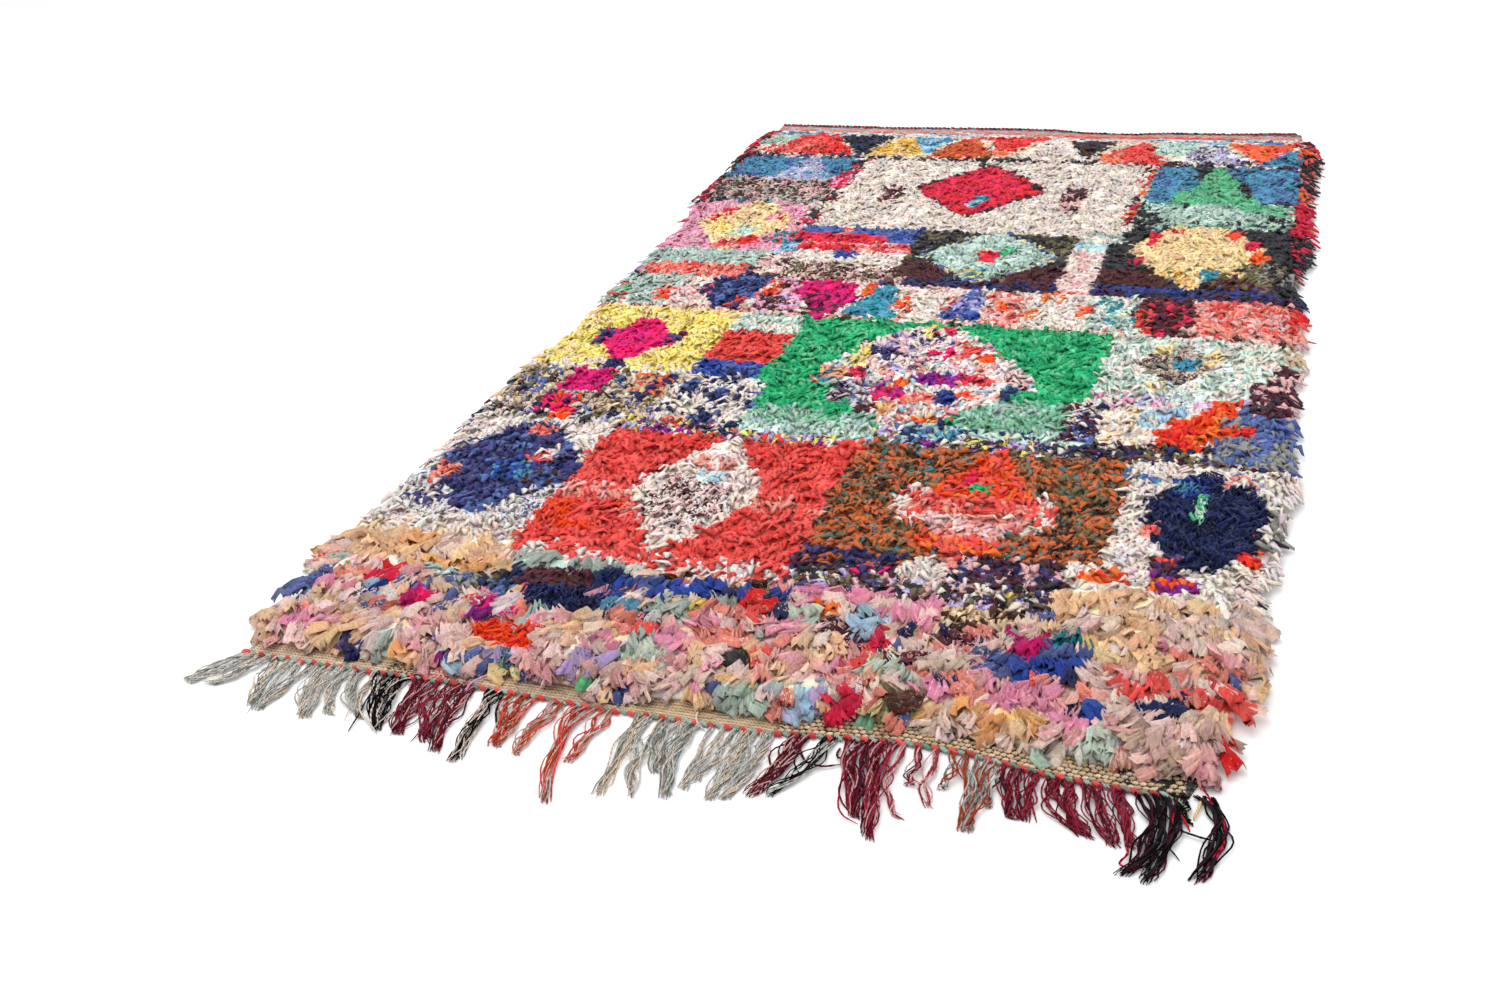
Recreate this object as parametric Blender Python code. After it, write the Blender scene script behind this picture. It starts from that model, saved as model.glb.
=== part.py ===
"""Boucherouite rag rug lying flat: woven ground, rag pile, two twined edges and a warp fringe.

The tables give centimetres on the rug: x runs along the fringed front edge, y from that edge
to the back edge, z up from the floor. The meshes are in metres, with the origin on the floor
under the middle of the whole rug.
"""
import math
import random
from typing import NamedTuple

import bmesh
import bpy
from mathutils import Vector

CM = 0.01
ORIGIN_X = 0.2
ORIGIN_Y = 122.3
GAP = 0.03

GROUND_THICK = 0.3
GROUND_INSET = 2.5
GROUND_SETBACK = 0.07
GROUND_LEFT_END = -69.4
GROUND_RIGHT_END = 66.5

PILE_INSET = 2.2
PILE_FRONT_SETBACK = 1.6
PILE_BACK = 256.0
PILE_RIM_HEIGHT = 2.0
PILE_HEIGHT = 3.0
PILE_LUMP = 0.5
PILE_SHOULDER = 2.4
PILE_COLUMNS = 22
PILE_ROWS = 40
LOCK_REACH = (1.3, 2.4)
LOCK_MARGIN = 0.14
LOCK_TIP_SHARE = 0.5
LOCK_SIDE_TIP = (0.2, 0.9)
LOCK_END_TIP = (0.42, 1.1)

EDGE_CORD_WIDTH = 1.1
EDGE_CORD_HEIGHT = 0.7
EDGE_CORD_PITCH = 1.8
EDGE_CORD_VALLEY = 0.8
EDGE_CORD_SIDES = 6
FRONT_CORD_ENDS = (-69.2, 64.6)
BACK_CORD_ENDS = (-72.6, 65.4)

STRIP_DEPTH = 0.75
STRAND_STEPS = 5
STRAND_FILL = 0.4
STRAND_TOP_SHARE = 0.6
STRAND_THICK = 0.55
STRAND_TIP_SHARE = 0.6
WAIST_SHARE = 0.8

SEED = 11


class SideRow(NamedTuple):
    """Reach of the tufts at the two long sides, at one distance from the front edge."""
    y: float
    left: float
    right: float


SIDE_ROWS = (
    SideRow(0, -71.0, 70.5),
    SideRow(20, -71.8, 72.6),
    SideRow(40, -71.5, 71.9),
    SideRow(60, -71.3, 74.3),
    SideRow(80, -71.9, 75.4),
    SideRow(100, -71.7, 73.6),
    SideRow(120, -69.9, 73.6),
    SideRow(140, -71.0, 73.4),
    SideRow(160, -70.2, 70.6),
    SideRow(180, -70.3, 72.8),
    SideRow(200, -73.7, 72.1),
    SideRow(220, -74.4, 71.5),
    SideRow(240, -74.6, 71.9),
    SideRow(266, -75.3, 68.6),
)


class EdgePoint(NamedTuple):
    """One point of a wavy edge that runs across the rug."""
    x: float
    y: float


FRONT_EDGE = (
    EdgePoint(-72.0, 0.0),
    EdgePoint(-45.0, 0.1),
    EdgePoint(-32.0, 0.3),
    EdgePoint(-10.0, -0.5),
    EdgePoint(13.0, -0.3),
    EdgePoint(22.0, 0.8),
    EdgePoint(30.0, 1.7),
    EdgePoint(39.0, 1.6),
    EdgePoint(49.0, -0.2),
    EdgePoint(60.0, -0.9),
    EdgePoint(72.0, 0.1),
)

BACK_EDGE = (
    EdgePoint(-74.0, 264.6),
    EdgePoint(-40.0, 263.6),
    EdgePoint(-10.0, 264.4),
    EdgePoint(4.0, 264.0),
    EdgePoint(13.0, 261.8),
    EdgePoint(25.0, 261.4),
    EdgePoint(33.0, 262.9),
    EdgePoint(51.0, 263.0),
    EdgePoint(60.0, 264.2),
    EdgePoint(70.0, 264.2),
)

PILE_FRONT_EDGE = (
    EdgePoint(-72.0, 3.4),
    EdgePoint(-45.0, 3.0),
    EdgePoint(-30.0, 3.4),
    EdgePoint(-8.0, 2.4),
    EdgePoint(3.0, 3.8),
    EdgePoint(12.0, 3.2),
    EdgePoint(24.0, 4.9),
    EdgePoint(38.0, 5.0),
    EdgePoint(50.0, 3.6),
    EdgePoint(62.0, 3.2),
    EdgePoint(72.0, 2.4),
)


class Bunch(NamedTuple):
    """A bunch of fringe strands: roots on the edge, one bend, and tips on the floor."""
    root_left: float
    root_right: float
    strands: int
    bend_x: float
    bend_y: float
    tip_left: float
    tip_right: float
    tip_y: float


class Fringe(NamedTuple):
    """One stretch of the fringe, in warp of one colour on its own strip."""
    name: str
    color: tuple
    bunches: tuple


GREY = (0.62, 0.62, 0.58)
BLACK = (0.10, 0.08, 0.09)
BURGUNDY = (0.46, 0.07, 0.12)
ORANGE = (0.80, 0.35, 0.20)
CRIMSON = (0.60, 0.08, 0.18)

FRINGES = (
    Fringe("fringe_grey_left", GREY, (
        Bunch(-69.3, -67.3, 3, -70.8, -4.2, -74.3, -72.6, -8.6),
        Bunch(-66.9, -64.8, 2, -67.0, -5.0, -70.6, -68.8, -8.0),
        Bunch(-63.6, -61.4, 2, -62.2, -5.5, -61.2, -60.3, -11.2),
        Bunch(-60.8, -57.6, 3, -58.6, -5.5, -59.8, -58.4, -12.0),
        Bunch(-56.6, -52.6, 4, -53.2, -6.0, -52.8, -50.2, -11.9),
        Bunch(-52.2, -50.6, 2, -50.4, -6.2, -48.8, -47.3, -10.4),
        Bunch(-50.2, -47.0, 3, -46.8, -6.0, -44.2, -42.8, -10.0),
    )),
    Fringe("fringe_black_left", BLACK, (
        Bunch(-46.4, -41.0, 5, -42.6, -5.6, -40.8, -38.6, -12.1),
    )),
    Fringe("fringe_burgundy_left", BURGUNDY, (
        Bunch(-40.2, -36.8, 4, -37.4, -6.4, -37.2, -35.2, -12.0),
        Bunch(-36.4, -33.2, 3, -34.0, -6.0, -32.6, -31.2, -12.8),
        Bunch(-32.8, -30.6, 3, -30.9, -6.5, -30.2, -28.2, -14.2),
    )),
    Fringe("fringe_black_white", BLACK, (
        Bunch(-28.6, -26.4, 3, -26.9, -7.0, -26.6, -24.9, -15.9),
    )),
    Fringe("fringe_orange", ORANGE, (
        Bunch(-25.0, -20.6, 4, -22.4, -6.2, -22.5, -21.2, -11.2),
        Bunch(-18.2, -16.6, 2, -18.3, -7.0, -18.6, -17.6, -12.6),
        Bunch(-14.6, -11.8, 3, -13.4, -8.5, -11.2, -9.4, -20.4),
        Bunch(-10.8, -9.4, 2, -10.1, -6.0, -11.3, -10.4, -12.6),
    )),
    Fringe("fringe_grey_middle", GREY, (
        Bunch(-5.6, -4.0, 2, -4.4, -8.5, -4.6, -3.6, -17.5),
        Bunch(-3.6, -1.9, 2, -2.3, -8.5, -0.6, 0.4, -16.6),
        Bunch(-1.0, 0.6, 2, 0.0, -6.0, 1.0, 1.9, -11.4),
        Bunch(1.2, 3.6, 3, 2.6, -7.5, 3.8, 5.0, -15.7),
        Bunch(5.2, 7.0, 2, 5.9, -7.0, 5.5, 6.4, -13.5),
        Bunch(8.2, 8.9, 1, 8.2, -6.5, 7.0, 7.6, -11.6),
        Bunch(9.3, 11.4, 3, 10.3, -7.0, 9.3, 10.4, -14.6),
        Bunch(12.2, 13.6, 3, 13.2, -6.5, 10.9, 12.4, -14.2),
    )),
    Fringe("fringe_burgundy_loop", BURGUNDY, (
        Bunch(16.4, 18.2, 3, 16.4, -6.2, 13.9, 15.2, -12.8),
    )),
    Fringe("fringe_black_middle", BLACK, (
        Bunch(20.6, 22.2, 2, 19.9, -6.2, 16.1, 17.4, -12.4),
    )),
    Fringe("fringe_burgundy_middle", BURGUNDY, (
        Bunch(23.4, 26.4, 4, 25.9, -5.5, 28.0, 29.4, -13.9),
        Bunch(26.8, 30.0, 5, 28.7, -6.0, 30.2, 31.9, -16.9),
        Bunch(30.4, 31.3, 1, 31.4, -7.6, 33.6, 34.4, -12.6),
        Bunch(32.2, 33.2, 1, 33.9, -3.4, 32.7, 33.6, -6.2),
        Bunch(34.6, 35.6, 1, 35.6, -5.2, 36.2, 37.3, -9.7),
    )),
    Fringe("fringe_grey_orange", GREY, (
        Bunch(36.8, 37.5, 1, 37.8, -2.6, 36.9, 37.5, -6.3),
        Bunch(38.9, 41.6, 3, 41.4, -6.0, 41.0, 42.5, -12.9),
        Bunch(42.5, 43.2, 1, 43.1, -4.0, 43.6, 44.1, -7.8),
    )),
    Fringe("fringe_crimson", CRIMSON, (
        Bunch(44.0, 48.4, 5, 46.6, -4.8, 45.8, 49.0, -9.1),
        Bunch(49.6, 53.0, 4, 52.2, -5.6, 55.0, 56.8, -10.4),
        Bunch(53.6, 56.0, 3, 56.4, -5.6, 58.7, 59.8, -11.1),
        Bunch(56.6, 58.6, 3, 59.0, -5.0, 60.4, 61.6, -10.8),
    )),
    Fringe("fringe_black_right", BLACK, (
        Bunch(60.0, 62.2, 3, 63.3, -8.0, 60.0, 61.3, -16.0),
        Bunch(62.8, 64.8, 3, 65.2, -8.0, 62.6, 63.9, -16.5),
        Bunch(65.3, 66.3, 1, 66.6, -3.0, 66.7, 67.6, -5.4),
        Bunch(67.2, 69.2, 3, 70.7, -6.0, 68.0, 69.4, -14.6),
    )),
)


def metres(x: float, y: float, z: float) -> Vector:
    """Return a point of the rug's centimetre chart as a point of the model."""
    return Vector(((x - ORIGIN_X) * CM, (y - ORIGIN_Y) * CM, z * CM))


def mix(low: float, high: float, share: float) -> float:
    """Return the value that lies at a share of the way from low to high."""
    return low + (high - low) * share


def read_rows(rows: tuple, at: float, key: int, column: int) -> float:
    """Read one column of a table between its rows, which are sorted by the key column."""
    for before, after in zip(rows, rows[1:]):
        if at <= after[key]:
            share = (at - before[key]) / (after[key] - before[key])
            return mix(before[column], after[column], max(0.0, share))
    return rows[-1][column]


def side_x(y: float, side: str, inset: float) -> float:
    """Return x of the left or right side at y, moved in by the inset."""
    if side == "left":
        return read_rows(SIDE_ROWS, y, 0, 1) + inset
    return read_rows(SIDE_ROWS, y, 0, 2) - inset


def front_y(x: float) -> float:
    """Return y of the woven front edge at x."""
    return read_rows(FRONT_EDGE, x, 0, 1)


def back_y(x: float) -> float:
    """Return y of the woven back edge at x."""
    return read_rows(BACK_EDGE, x, 0, 1)


def fabric(name: str, color: tuple, roughness: float) -> bpy.types.Material:
    """Make a plain matt cloth material; the color is in display values."""
    material = bpy.data.materials.new(name)
    material.use_nodes = True
    shader = material.node_tree.nodes["Principled BSDF"]
    linear = [value ** 2.2 for value in color]
    shader.inputs["Base Color"].default_value = (*linear, 1.0)
    shader.inputs["Roughness"].default_value = roughness
    shader.inputs["Metallic"].default_value = 0.0
    return material


def finish_object(name: str, bm: bmesh.types.BMesh, material: bpy.types.Material) -> bpy.types.Object:
    """Turn a closed bmesh into a named object with its faces pointing out."""
    bmesh.ops.recalc_face_normals(bm, faces=bm.faces[:])
    mesh = bpy.data.meshes.new(name)
    bm.to_mesh(mesh)
    bm.free()
    mesh.materials.append(material)
    part = bpy.data.objects.new(name, mesh)
    bpy.context.scene.collection.objects.link(part)
    return part


def build_ground() -> bpy.types.Object:
    """Build the woven sheet that the rags are knotted into, with its bare bands at both ends."""
    sides = [row.y for row in SIDE_ROWS[1:-1]]
    front = [GROUND_LEFT_END, *(point.x for point in FRONT_EDGE[1:-1]), GROUND_RIGHT_END]
    outline = [(x, front_y(x) + GROUND_SETBACK) for x in front]
    outline += [(side_x(y, "right", GROUND_INSET), y) for y in sides]
    back = [BACK_CORD_ENDS[1], *(point.x for point in reversed(BACK_EDGE[1:-1])), BACK_CORD_ENDS[0]]
    outline += [(x, back_y(x)) for x in back]
    outline += [(side_x(y, "left", GROUND_INSET), y) for y in reversed(sides)]
    bm = bmesh.new()
    corners = [bm.verts.new(metres(x, y, 0.0)) for x, y in outline]
    sheet = bm.faces.new(corners)
    raised = bmesh.ops.extrude_face_region(bm, geom=[sheet])
    top = [item for item in raised["geom"] if isinstance(item, bmesh.types.BMVert)]
    bmesh.ops.translate(bm, verts=top, vec=(0.0, 0.0, GROUND_THICK * CM))
    return finish_object("woven_ground", bm, fabric("ground_cotton", (0.72, 0.60, 0.45), 0.9))


def grid_share(index: int, count: int, length: float) -> float:
    """Return how far along a grid line lies; the lines next to the rim stand at its shoulder."""
    if index == 1:
        return PILE_SHOULDER / length
    if index == count - 1:
        return 1.0 - PILE_SHOULDER / length
    return index / count


def pile_point(column: int, row: int) -> tuple:
    """Return x and y of one point of the pile's grid; the outermost points are its rim."""
    along = grid_share(row, PILE_ROWS, PILE_BACK)
    y_guess = PILE_BACK * along
    left = side_x(y_guess, "left", PILE_INSET)
    right = side_x(y_guess, "right", PILE_INSET)
    x = mix(left, right, grid_share(column, PILE_COLUMNS, right - left))
    front = read_rows(PILE_FRONT_EDGE, x, 0, 1) + PILE_FRONT_SETBACK
    return x, mix(front, PILE_BACK - PILE_INSET, along)


def pile_rim() -> list:
    """List the grid places of the pile's rim once round, from the front left corner."""
    front = [(column, 0) for column in range(PILE_COLUMNS)]
    right = [(PILE_COLUMNS, row) for row in range(PILE_ROWS)]
    back = [(column, PILE_ROWS) for column in range(PILE_COLUMNS, 0, -1)]
    left = [(0, row) for row in range(PILE_ROWS, 0, -1)]
    return front + right + back + left


def grow_lock(bm: bmesh.types.BMesh, wall: bmesh.types.BMFace, random_source: random.Random) -> None:
    """Grow one flattened, four sided lock out of a wall face of the pile."""
    wall.normal_update()
    outward = wall.normal.copy()
    sideways = outward.cross(Vector((0.0, 0.0, 1.0)))
    at_end = abs(outward.y) > abs(outward.x)
    low, high = LOCK_END_TIP if at_end else LOCK_SIDE_TIP
    rim = sorted(wall.verts, key=lambda vert: vert.co.z)
    floor_z = rim[0].co.z
    roof_z = rim[3].co.z
    middle = wall.calc_center_median()
    bmesh.ops.inset_individual(bm, faces=[wall], thickness=LOCK_MARGIN * CM)
    grown = bmesh.ops.extrude_discrete_faces(bm, faces=[wall])["faces"][0]
    reach = random_source.uniform(*LOCK_REACH) * CM
    swing = random_source.uniform(-0.8, 0.8) * CM
    half_z = (floor_z + roof_z) / 2
    for vert in grown.verts:
        offset = vert.co - middle
        across = offset.dot(sideways) * LOCK_TIP_SHARE
        height = high if vert.co.z > half_z else low
        place = middle + sideways * (across + swing) + outward * reach
        vert.co = Vector((place.x, place.y, height * CM))


def build_pile() -> bpy.types.Object:
    """Build the rag pile as a lumpy slab with a lock at every step of its rim."""
    source = random.Random(SEED)
    bm = bmesh.new()
    under = GROUND_THICK + GAP
    top = {}
    for row in range(PILE_ROWS + 1):
        for column in range(PILE_COLUMNS + 1):
            x, y = pile_point(column, row)
            on_rim = row in (0, PILE_ROWS) or column in (0, PILE_COLUMNS)
            lump = source.uniform(-PILE_LUMP, PILE_LUMP)
            height = PILE_RIM_HEIGHT if on_rim else PILE_HEIGHT + lump
            top[column, row] = bm.verts.new(metres(x, y, height))
    for row in range(PILE_ROWS):
        for column in range(PILE_COLUMNS):
            bm.faces.new((top[column, row], top[column + 1, row],
                          top[column + 1, row + 1], top[column, row + 1]))
    rim = pile_rim()
    foot = {place: bm.verts.new(metres(*pile_point(*place), under)) for place in rim}
    walls = []
    for place, following in zip(rim, rim[1:] + rim[:1]):
        walls.append(bm.faces.new((foot[place], foot[following], top[following], top[place])))
    last = PILE_ROWS - 1
    first_strip = [foot[0, 1], *(foot[column, 0] for column in range(PILE_COLUMNS + 1)),
                   foot[PILE_COLUMNS, 1]]
    last_strip = [foot[PILE_COLUMNS, last],
                  *(foot[column, PILE_ROWS] for column in range(PILE_COLUMNS, -1, -1)),
                  foot[0, last]]
    bm.faces.new(first_strip)
    bm.faces.new(last_strip)
    for row in range(1, last):
        bm.faces.new((foot[0, row], foot[PILE_COLUMNS, row],
                      foot[PILE_COLUMNS, row + 1], foot[0, row + 1]))
    for wall in walls:
        grow_lock(bm, wall, source)
    return finish_object("rag_pile", bm, fabric("pile_rags", (0.80, 0.68, 0.62), 0.95))


def build_edge_cord(name: str, ends: tuple, edge_y, color: tuple) -> bpy.types.Object:
    """Build a two colour twined cord: a flat bottomed bar with a swelling at every twist."""
    bm = bmesh.new()
    left, right = ends
    rings = 2 * round((right - left) / EDGE_CORD_PITCH)
    under = GROUND_THICK + GAP
    loops = []
    for ring in range(rings + 1):
        x = mix(left, right, ring / rings)
        swell = 1.0 if ring % 2 else EDGE_CORD_VALLEY
        loop = []
        for side in range(EDGE_CORD_SIDES):
            angle = math.tau * (side + 0.5) / EDGE_CORD_SIDES - math.pi / 2
            y = edge_y(x) + swell * EDGE_CORD_WIDTH / 2 * math.cos(angle)
            rise = 0.5 + 0.5 * math.sin(angle) / math.sin(math.pi / 2 - math.pi / EDGE_CORD_SIDES)
            z = under + swell * EDGE_CORD_HEIGHT * rise
            loop.append(bm.verts.new(metres(x, y, z)))
        loops.append(loop)
    for near, far in zip(loops, loops[1:]):
        for side in range(EDGE_CORD_SIDES):
            following = (side + 1) % EDGE_CORD_SIDES
            bm.faces.new((near[side], near[following], far[following], far[side]))
    bm.faces.new(loops[0])
    bm.faces.new(loops[-1])
    return finish_object(name, bm, fabric(name + "_yarn", color, 0.85))


def strand_sections(bunch: Bunch, index: int) -> list:
    """List the sections of one strand past its root, as middle, half width and height."""
    share = (index + 0.5) / bunch.strands
    root_width = bunch.root_right - bunch.root_left
    tip_width = bunch.tip_right - bunch.tip_left
    waist = WAIST_SHARE * (root_width + tip_width) / 2
    root_x = mix(bunch.root_left, bunch.root_right, share)
    root = Vector((root_x, front_y(root_x) - STRIP_DEPTH))
    bend = Vector((bunch.bend_x + (share - 0.5) * waist, bunch.bend_y))
    tip = Vector((mix(bunch.tip_left, bunch.tip_right, share), bunch.tip_y))
    control = bend * 2 - (root + tip) / 2
    sections = []
    for step in range(1, STRAND_STEPS + 1):
        t = step / STRAND_STEPS
        middle = root * (1 - t) ** 2 + control * (2 * t * (1 - t)) + tip * t ** 2
        slope = ((control - root) * (1 - t) + (tip - control) * t).normalized()
        spread = mix(root_width, waist, t * 2) if t < 0.5 else mix(waist, tip_width, t * 2 - 1)
        half = STRAND_FILL * spread / bunch.strands * abs(slope.y)
        thick = STRAND_THICK
        if step == STRAND_STEPS:
            half *= STRAND_TIP_SHARE
            thick *= STRAND_TIP_SHARE
        across = Vector((-slope.y, slope.x)) * half
        sections.append((middle, across, thick))
    return sections


def build_fringe(fringe: Fringe) -> bpy.types.Object:
    """Build one stretch of fringe: a narrow strip with every strand drawn out of its front."""
    bm = bmesh.new()
    stops = []
    strands = []
    for bunch in fringe.bunches:
        for index in range(bunch.strands):
            share = (index + 0.5) / bunch.strands
            middle = mix(bunch.root_left, bunch.root_right, share)
            half = STRAND_FILL * (bunch.root_right - bunch.root_left) / bunch.strands
            strands.append((len(stops), strand_sections(bunch, index)))
            stops += [middle - half, middle + half]
    posts = []
    for x in stops:
        back = front_y(x) - GAP
        front = front_y(x) - STRIP_DEPTH
        posts.append([bm.verts.new(metres(x, y, z)) for y, z in (
            (back, 0.0), (back, GROUND_THICK), (front, 0.0), (front, GROUND_THICK))])
    roots = {place for place, sections in strands}
    for place, (near, far) in enumerate(zip(posts, posts[1:])):
        bm.faces.new((near[0], near[2], far[2], far[0]))
        bm.faces.new((near[1], far[1], far[3], near[3]))
        bm.faces.new((near[0], far[0], far[1], near[1]))
        if place not in roots:
            bm.faces.new((near[2], near[3], far[3], far[2]))
    bm.faces.new((posts[0][0], posts[0][1], posts[0][3], posts[0][2]))
    bm.faces.new((posts[-1][0], posts[-1][1], posts[-1][3], posts[-1][2]))
    for place, sections in strands:
        near = posts[place]
        far = posts[place + 1]
        ring = [near[2], far[2], far[3], near[3]]
        for middle, across, thick in sections:
            corners = ((middle - across, 0.0), (middle + across, 0.0),
                       (middle + across * STRAND_TOP_SHARE, thick),
                       (middle - across * STRAND_TOP_SHARE, thick))
            following = [bm.verts.new(metres(spot.x, spot.y, z)) for spot, z in corners]
            for side in range(4):
                beside = (side + 1) % 4
                bm.faces.new((ring[side], ring[beside], following[beside], following[side]))
            ring = following
        bm.faces.new(ring)
    return finish_object(fringe.name, bm, fabric(fringe.name + "_wool", fringe.color, 0.9))


def main() -> None:
    """Clear the scene and build every piece of the rug."""
    for item in list(bpy.data.objects):
        bpy.data.objects.remove(item)
    build_ground()
    build_pile()
    build_edge_cord("front_twined_cord", FRONT_CORD_ENDS, front_y, (0.75, 0.40, 0.36))
    build_edge_cord("back_twined_cord", BACK_CORD_ENDS, back_y, (0.35, 0.16, 0.16))
    for fringe in FRINGES:
        build_fringe(fringe)


main()
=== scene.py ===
"""Looks of a boucherouite rag rug: knotted pile, woven ground, twined edges and warp fringe.

Lengths in the tables are centimetres on the rug: x runs along the fringed front edge, y from
that edge to the back, z up from the floor. Meshes are in metres about the model's origin.
"""

import logging
import math
from dataclasses import dataclass
from enum import Enum
from typing import Callable, Iterator, NamedTuple

import bpy
import numpy as np
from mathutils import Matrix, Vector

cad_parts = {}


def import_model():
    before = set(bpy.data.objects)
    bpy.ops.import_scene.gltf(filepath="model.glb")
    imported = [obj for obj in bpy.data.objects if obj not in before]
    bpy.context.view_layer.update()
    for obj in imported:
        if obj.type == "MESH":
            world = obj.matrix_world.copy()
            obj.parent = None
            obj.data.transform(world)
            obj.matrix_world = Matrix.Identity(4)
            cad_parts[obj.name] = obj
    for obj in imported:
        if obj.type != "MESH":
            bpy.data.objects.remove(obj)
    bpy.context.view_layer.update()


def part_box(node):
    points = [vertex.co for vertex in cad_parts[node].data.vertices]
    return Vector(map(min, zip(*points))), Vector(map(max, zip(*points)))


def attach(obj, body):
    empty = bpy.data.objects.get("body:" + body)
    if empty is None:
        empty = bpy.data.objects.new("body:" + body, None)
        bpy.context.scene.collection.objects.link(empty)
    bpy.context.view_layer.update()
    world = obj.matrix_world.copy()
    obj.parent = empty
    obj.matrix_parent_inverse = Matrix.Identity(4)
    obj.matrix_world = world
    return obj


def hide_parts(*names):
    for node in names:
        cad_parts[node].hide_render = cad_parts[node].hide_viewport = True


log = logging.getLogger("rug")

CM = 0.01
ORIGIN = np.array((0.2, 122.3, 0.0))
BODY = "root"
DISPLAY_GAMMA = 2.2
RUG_LENGTH = 264.0
BRIGHTEST = 0.95
MOST_TRIANGLES = 190_000

DYES = {
    "cream": (0.90, 0.825, 0.77),
    "bone": (0.86, 0.81, 0.79),
    "white": (0.93, 0.91, 0.89),
    "blush": (0.92, 0.80, 0.77),
    "rose": (0.88, 0.66, 0.66),
    "peach": (0.93, 0.77, 0.60),
    "apricot": (0.92, 0.68, 0.44),
    "honey": (0.96, 0.81, 0.58),
    "beige": (0.78, 0.67, 0.54),
    "taupe": (0.76, 0.66, 0.60),
    "coral": (0.91, 0.31, 0.29),
    "brick": (0.83, 0.22, 0.20),
    "red": (0.86, 0.13, 0.14),
    "crimson": (0.84, 0.14, 0.28),
    "magenta": (0.78, 0.07, 0.42),
    "cerise": (0.95, 0.05, 0.38),
    "pink": (0.90, 0.58, 0.70),
    "flame": (0.98, 0.25, 0.08),
    "orange": (0.96, 0.43, 0.18),
    "salmon": (0.90, 0.54, 0.48),
    "yellow": (0.93, 0.81, 0.40),
    "mustard": (0.86, 0.64, 0.24),
    "rust": (0.74, 0.36, 0.18),
    "emerald": (0.10, 0.60, 0.38),
    "leaf": (0.32, 0.70, 0.49),
    "fern": (0.42, 0.64, 0.52),
    "sage": (0.63, 0.73, 0.69),
    "mint": (0.76, 0.86, 0.80),
    "teal": (0.12, 0.50, 0.56),
    "azure": (0.27, 0.53, 0.65),
    "sky": (0.60, 0.74, 0.84),
    "denim": (0.30, 0.38, 0.60),
    "royal": (0.15, 0.26, 0.60),
    "navy": (0.12, 0.16, 0.34),
    "midnight": (0.05, 0.10, 0.24),
    "indigo": (0.24, 0.22, 0.42),
    "purple": (0.50, 0.12, 0.52),
    "lilac": (0.66, 0.61, 0.80),
    "plum": (0.30, 0.13, 0.19),
    "brown": (0.26, 0.15, 0.12),
    "charcoal": (0.18, 0.18, 0.20),
    "olive": (0.42, 0.38, 0.26),
    "grey": (0.54, 0.54, 0.52),
    "silver": (0.74, 0.74, 0.71),
    "tan": (0.90, 0.78, 0.64),
    "khaki": (0.82, 0.70, 0.52),
    "burgundy": (0.42, 0.08, 0.14),
    "terracotta": (0.66, 0.27, 0.17),
    "garnet": (0.60, 0.19, 0.27),
    "black": (0.07, 0.06, 0.07),
}


def linear(names: str) -> np.ndarray:
    """Turn a row of dye names into linear light, one row of three for each name."""
    return np.array([DYES[name] for name in names.split()]) ** DISPLAY_GAMMA


def metres(points: np.ndarray) -> np.ndarray:
    """Move chart points in centimetres into the model's frame in metres."""
    return (points - ORIGIN) * CM


class Knot(Enum):
    """How a piece of the pile is cut."""
    WIDE_RAG = 0
    STRIP = 1
    YARN = 2


@dataclass(frozen=True)
class Patch:
    """A patch of the pattern: where it lies, its dyes, and its cut.

    dyes is a row of names, a name repeated for more of it. print_share is how much of each
    rag is printed in a second dye, from prints or else from the same row.
    """
    left: float
    right: float
    near: float
    far: float
    dyes: str
    print_share: float = 0.1
    knot: Knot = Knot.STRIP
    prints: str = ""

    def covers(self, x: np.ndarray, y: np.ndarray) -> np.ndarray:
        """Say which places lie on the patch."""
        return (x > self.left) & (x < self.right) & (y > self.near) & (y < self.far)


@dataclass(frozen=True)
class Lozenge(Patch):
    """A diamond that fills the patch's box; cut_near and cut_far keep one slice of it."""
    cut_near: float = -1000.0
    cut_far: float = 1000.0
    fullness: float = 1.12

    def covers(self, x: np.ndarray, y: np.ndarray) -> np.ndarray:
        """Say which places lie on the diamond.

        Args:
            x: places across the rug, in chart centimetres.
            y: places along the rug, in chart centimetres.

        Returns:
            True for each place on it.
        """
        across = np.abs(x - (self.left + self.right) / 2) / ((self.right - self.left) / 2)
        along = np.abs(y - (self.near + self.far) / 2) / ((self.far - self.near) / 2)
        inside = (across + along < self.fullness) & (across < 1) & (along < 1)
        return inside & (y > self.cut_near) & (y < self.cut_far)


@dataclass(frozen=True)
class Wedge(Patch):
    """A triangle with its base at near and its point at far, which may be the lower one."""
    point: float = 0.0

    def covers(self, x: np.ndarray, y: np.ndarray) -> np.ndarray:
        """Say which places lie on the triangle.

        Args:
            x: places across the rug, in chart centimetres.
            y: places along the rug, in chart centimetres.

        Returns:
            True for each place on it.
        """
        share = (y - self.near) / (self.far - self.near)
        left = self.left + (self.point - self.left) * share
        right = self.right + (self.point - self.right) * share
        return (share > 0) & (share < 1) & (x > left - 0.6) & (x < right + 0.6)


SHAPES = {"lozenge": Lozenge, "wedge": Wedge}
CUTS = {"wide": Knot.WIDE_RAG, "yarn": Knot.YARN}

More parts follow.
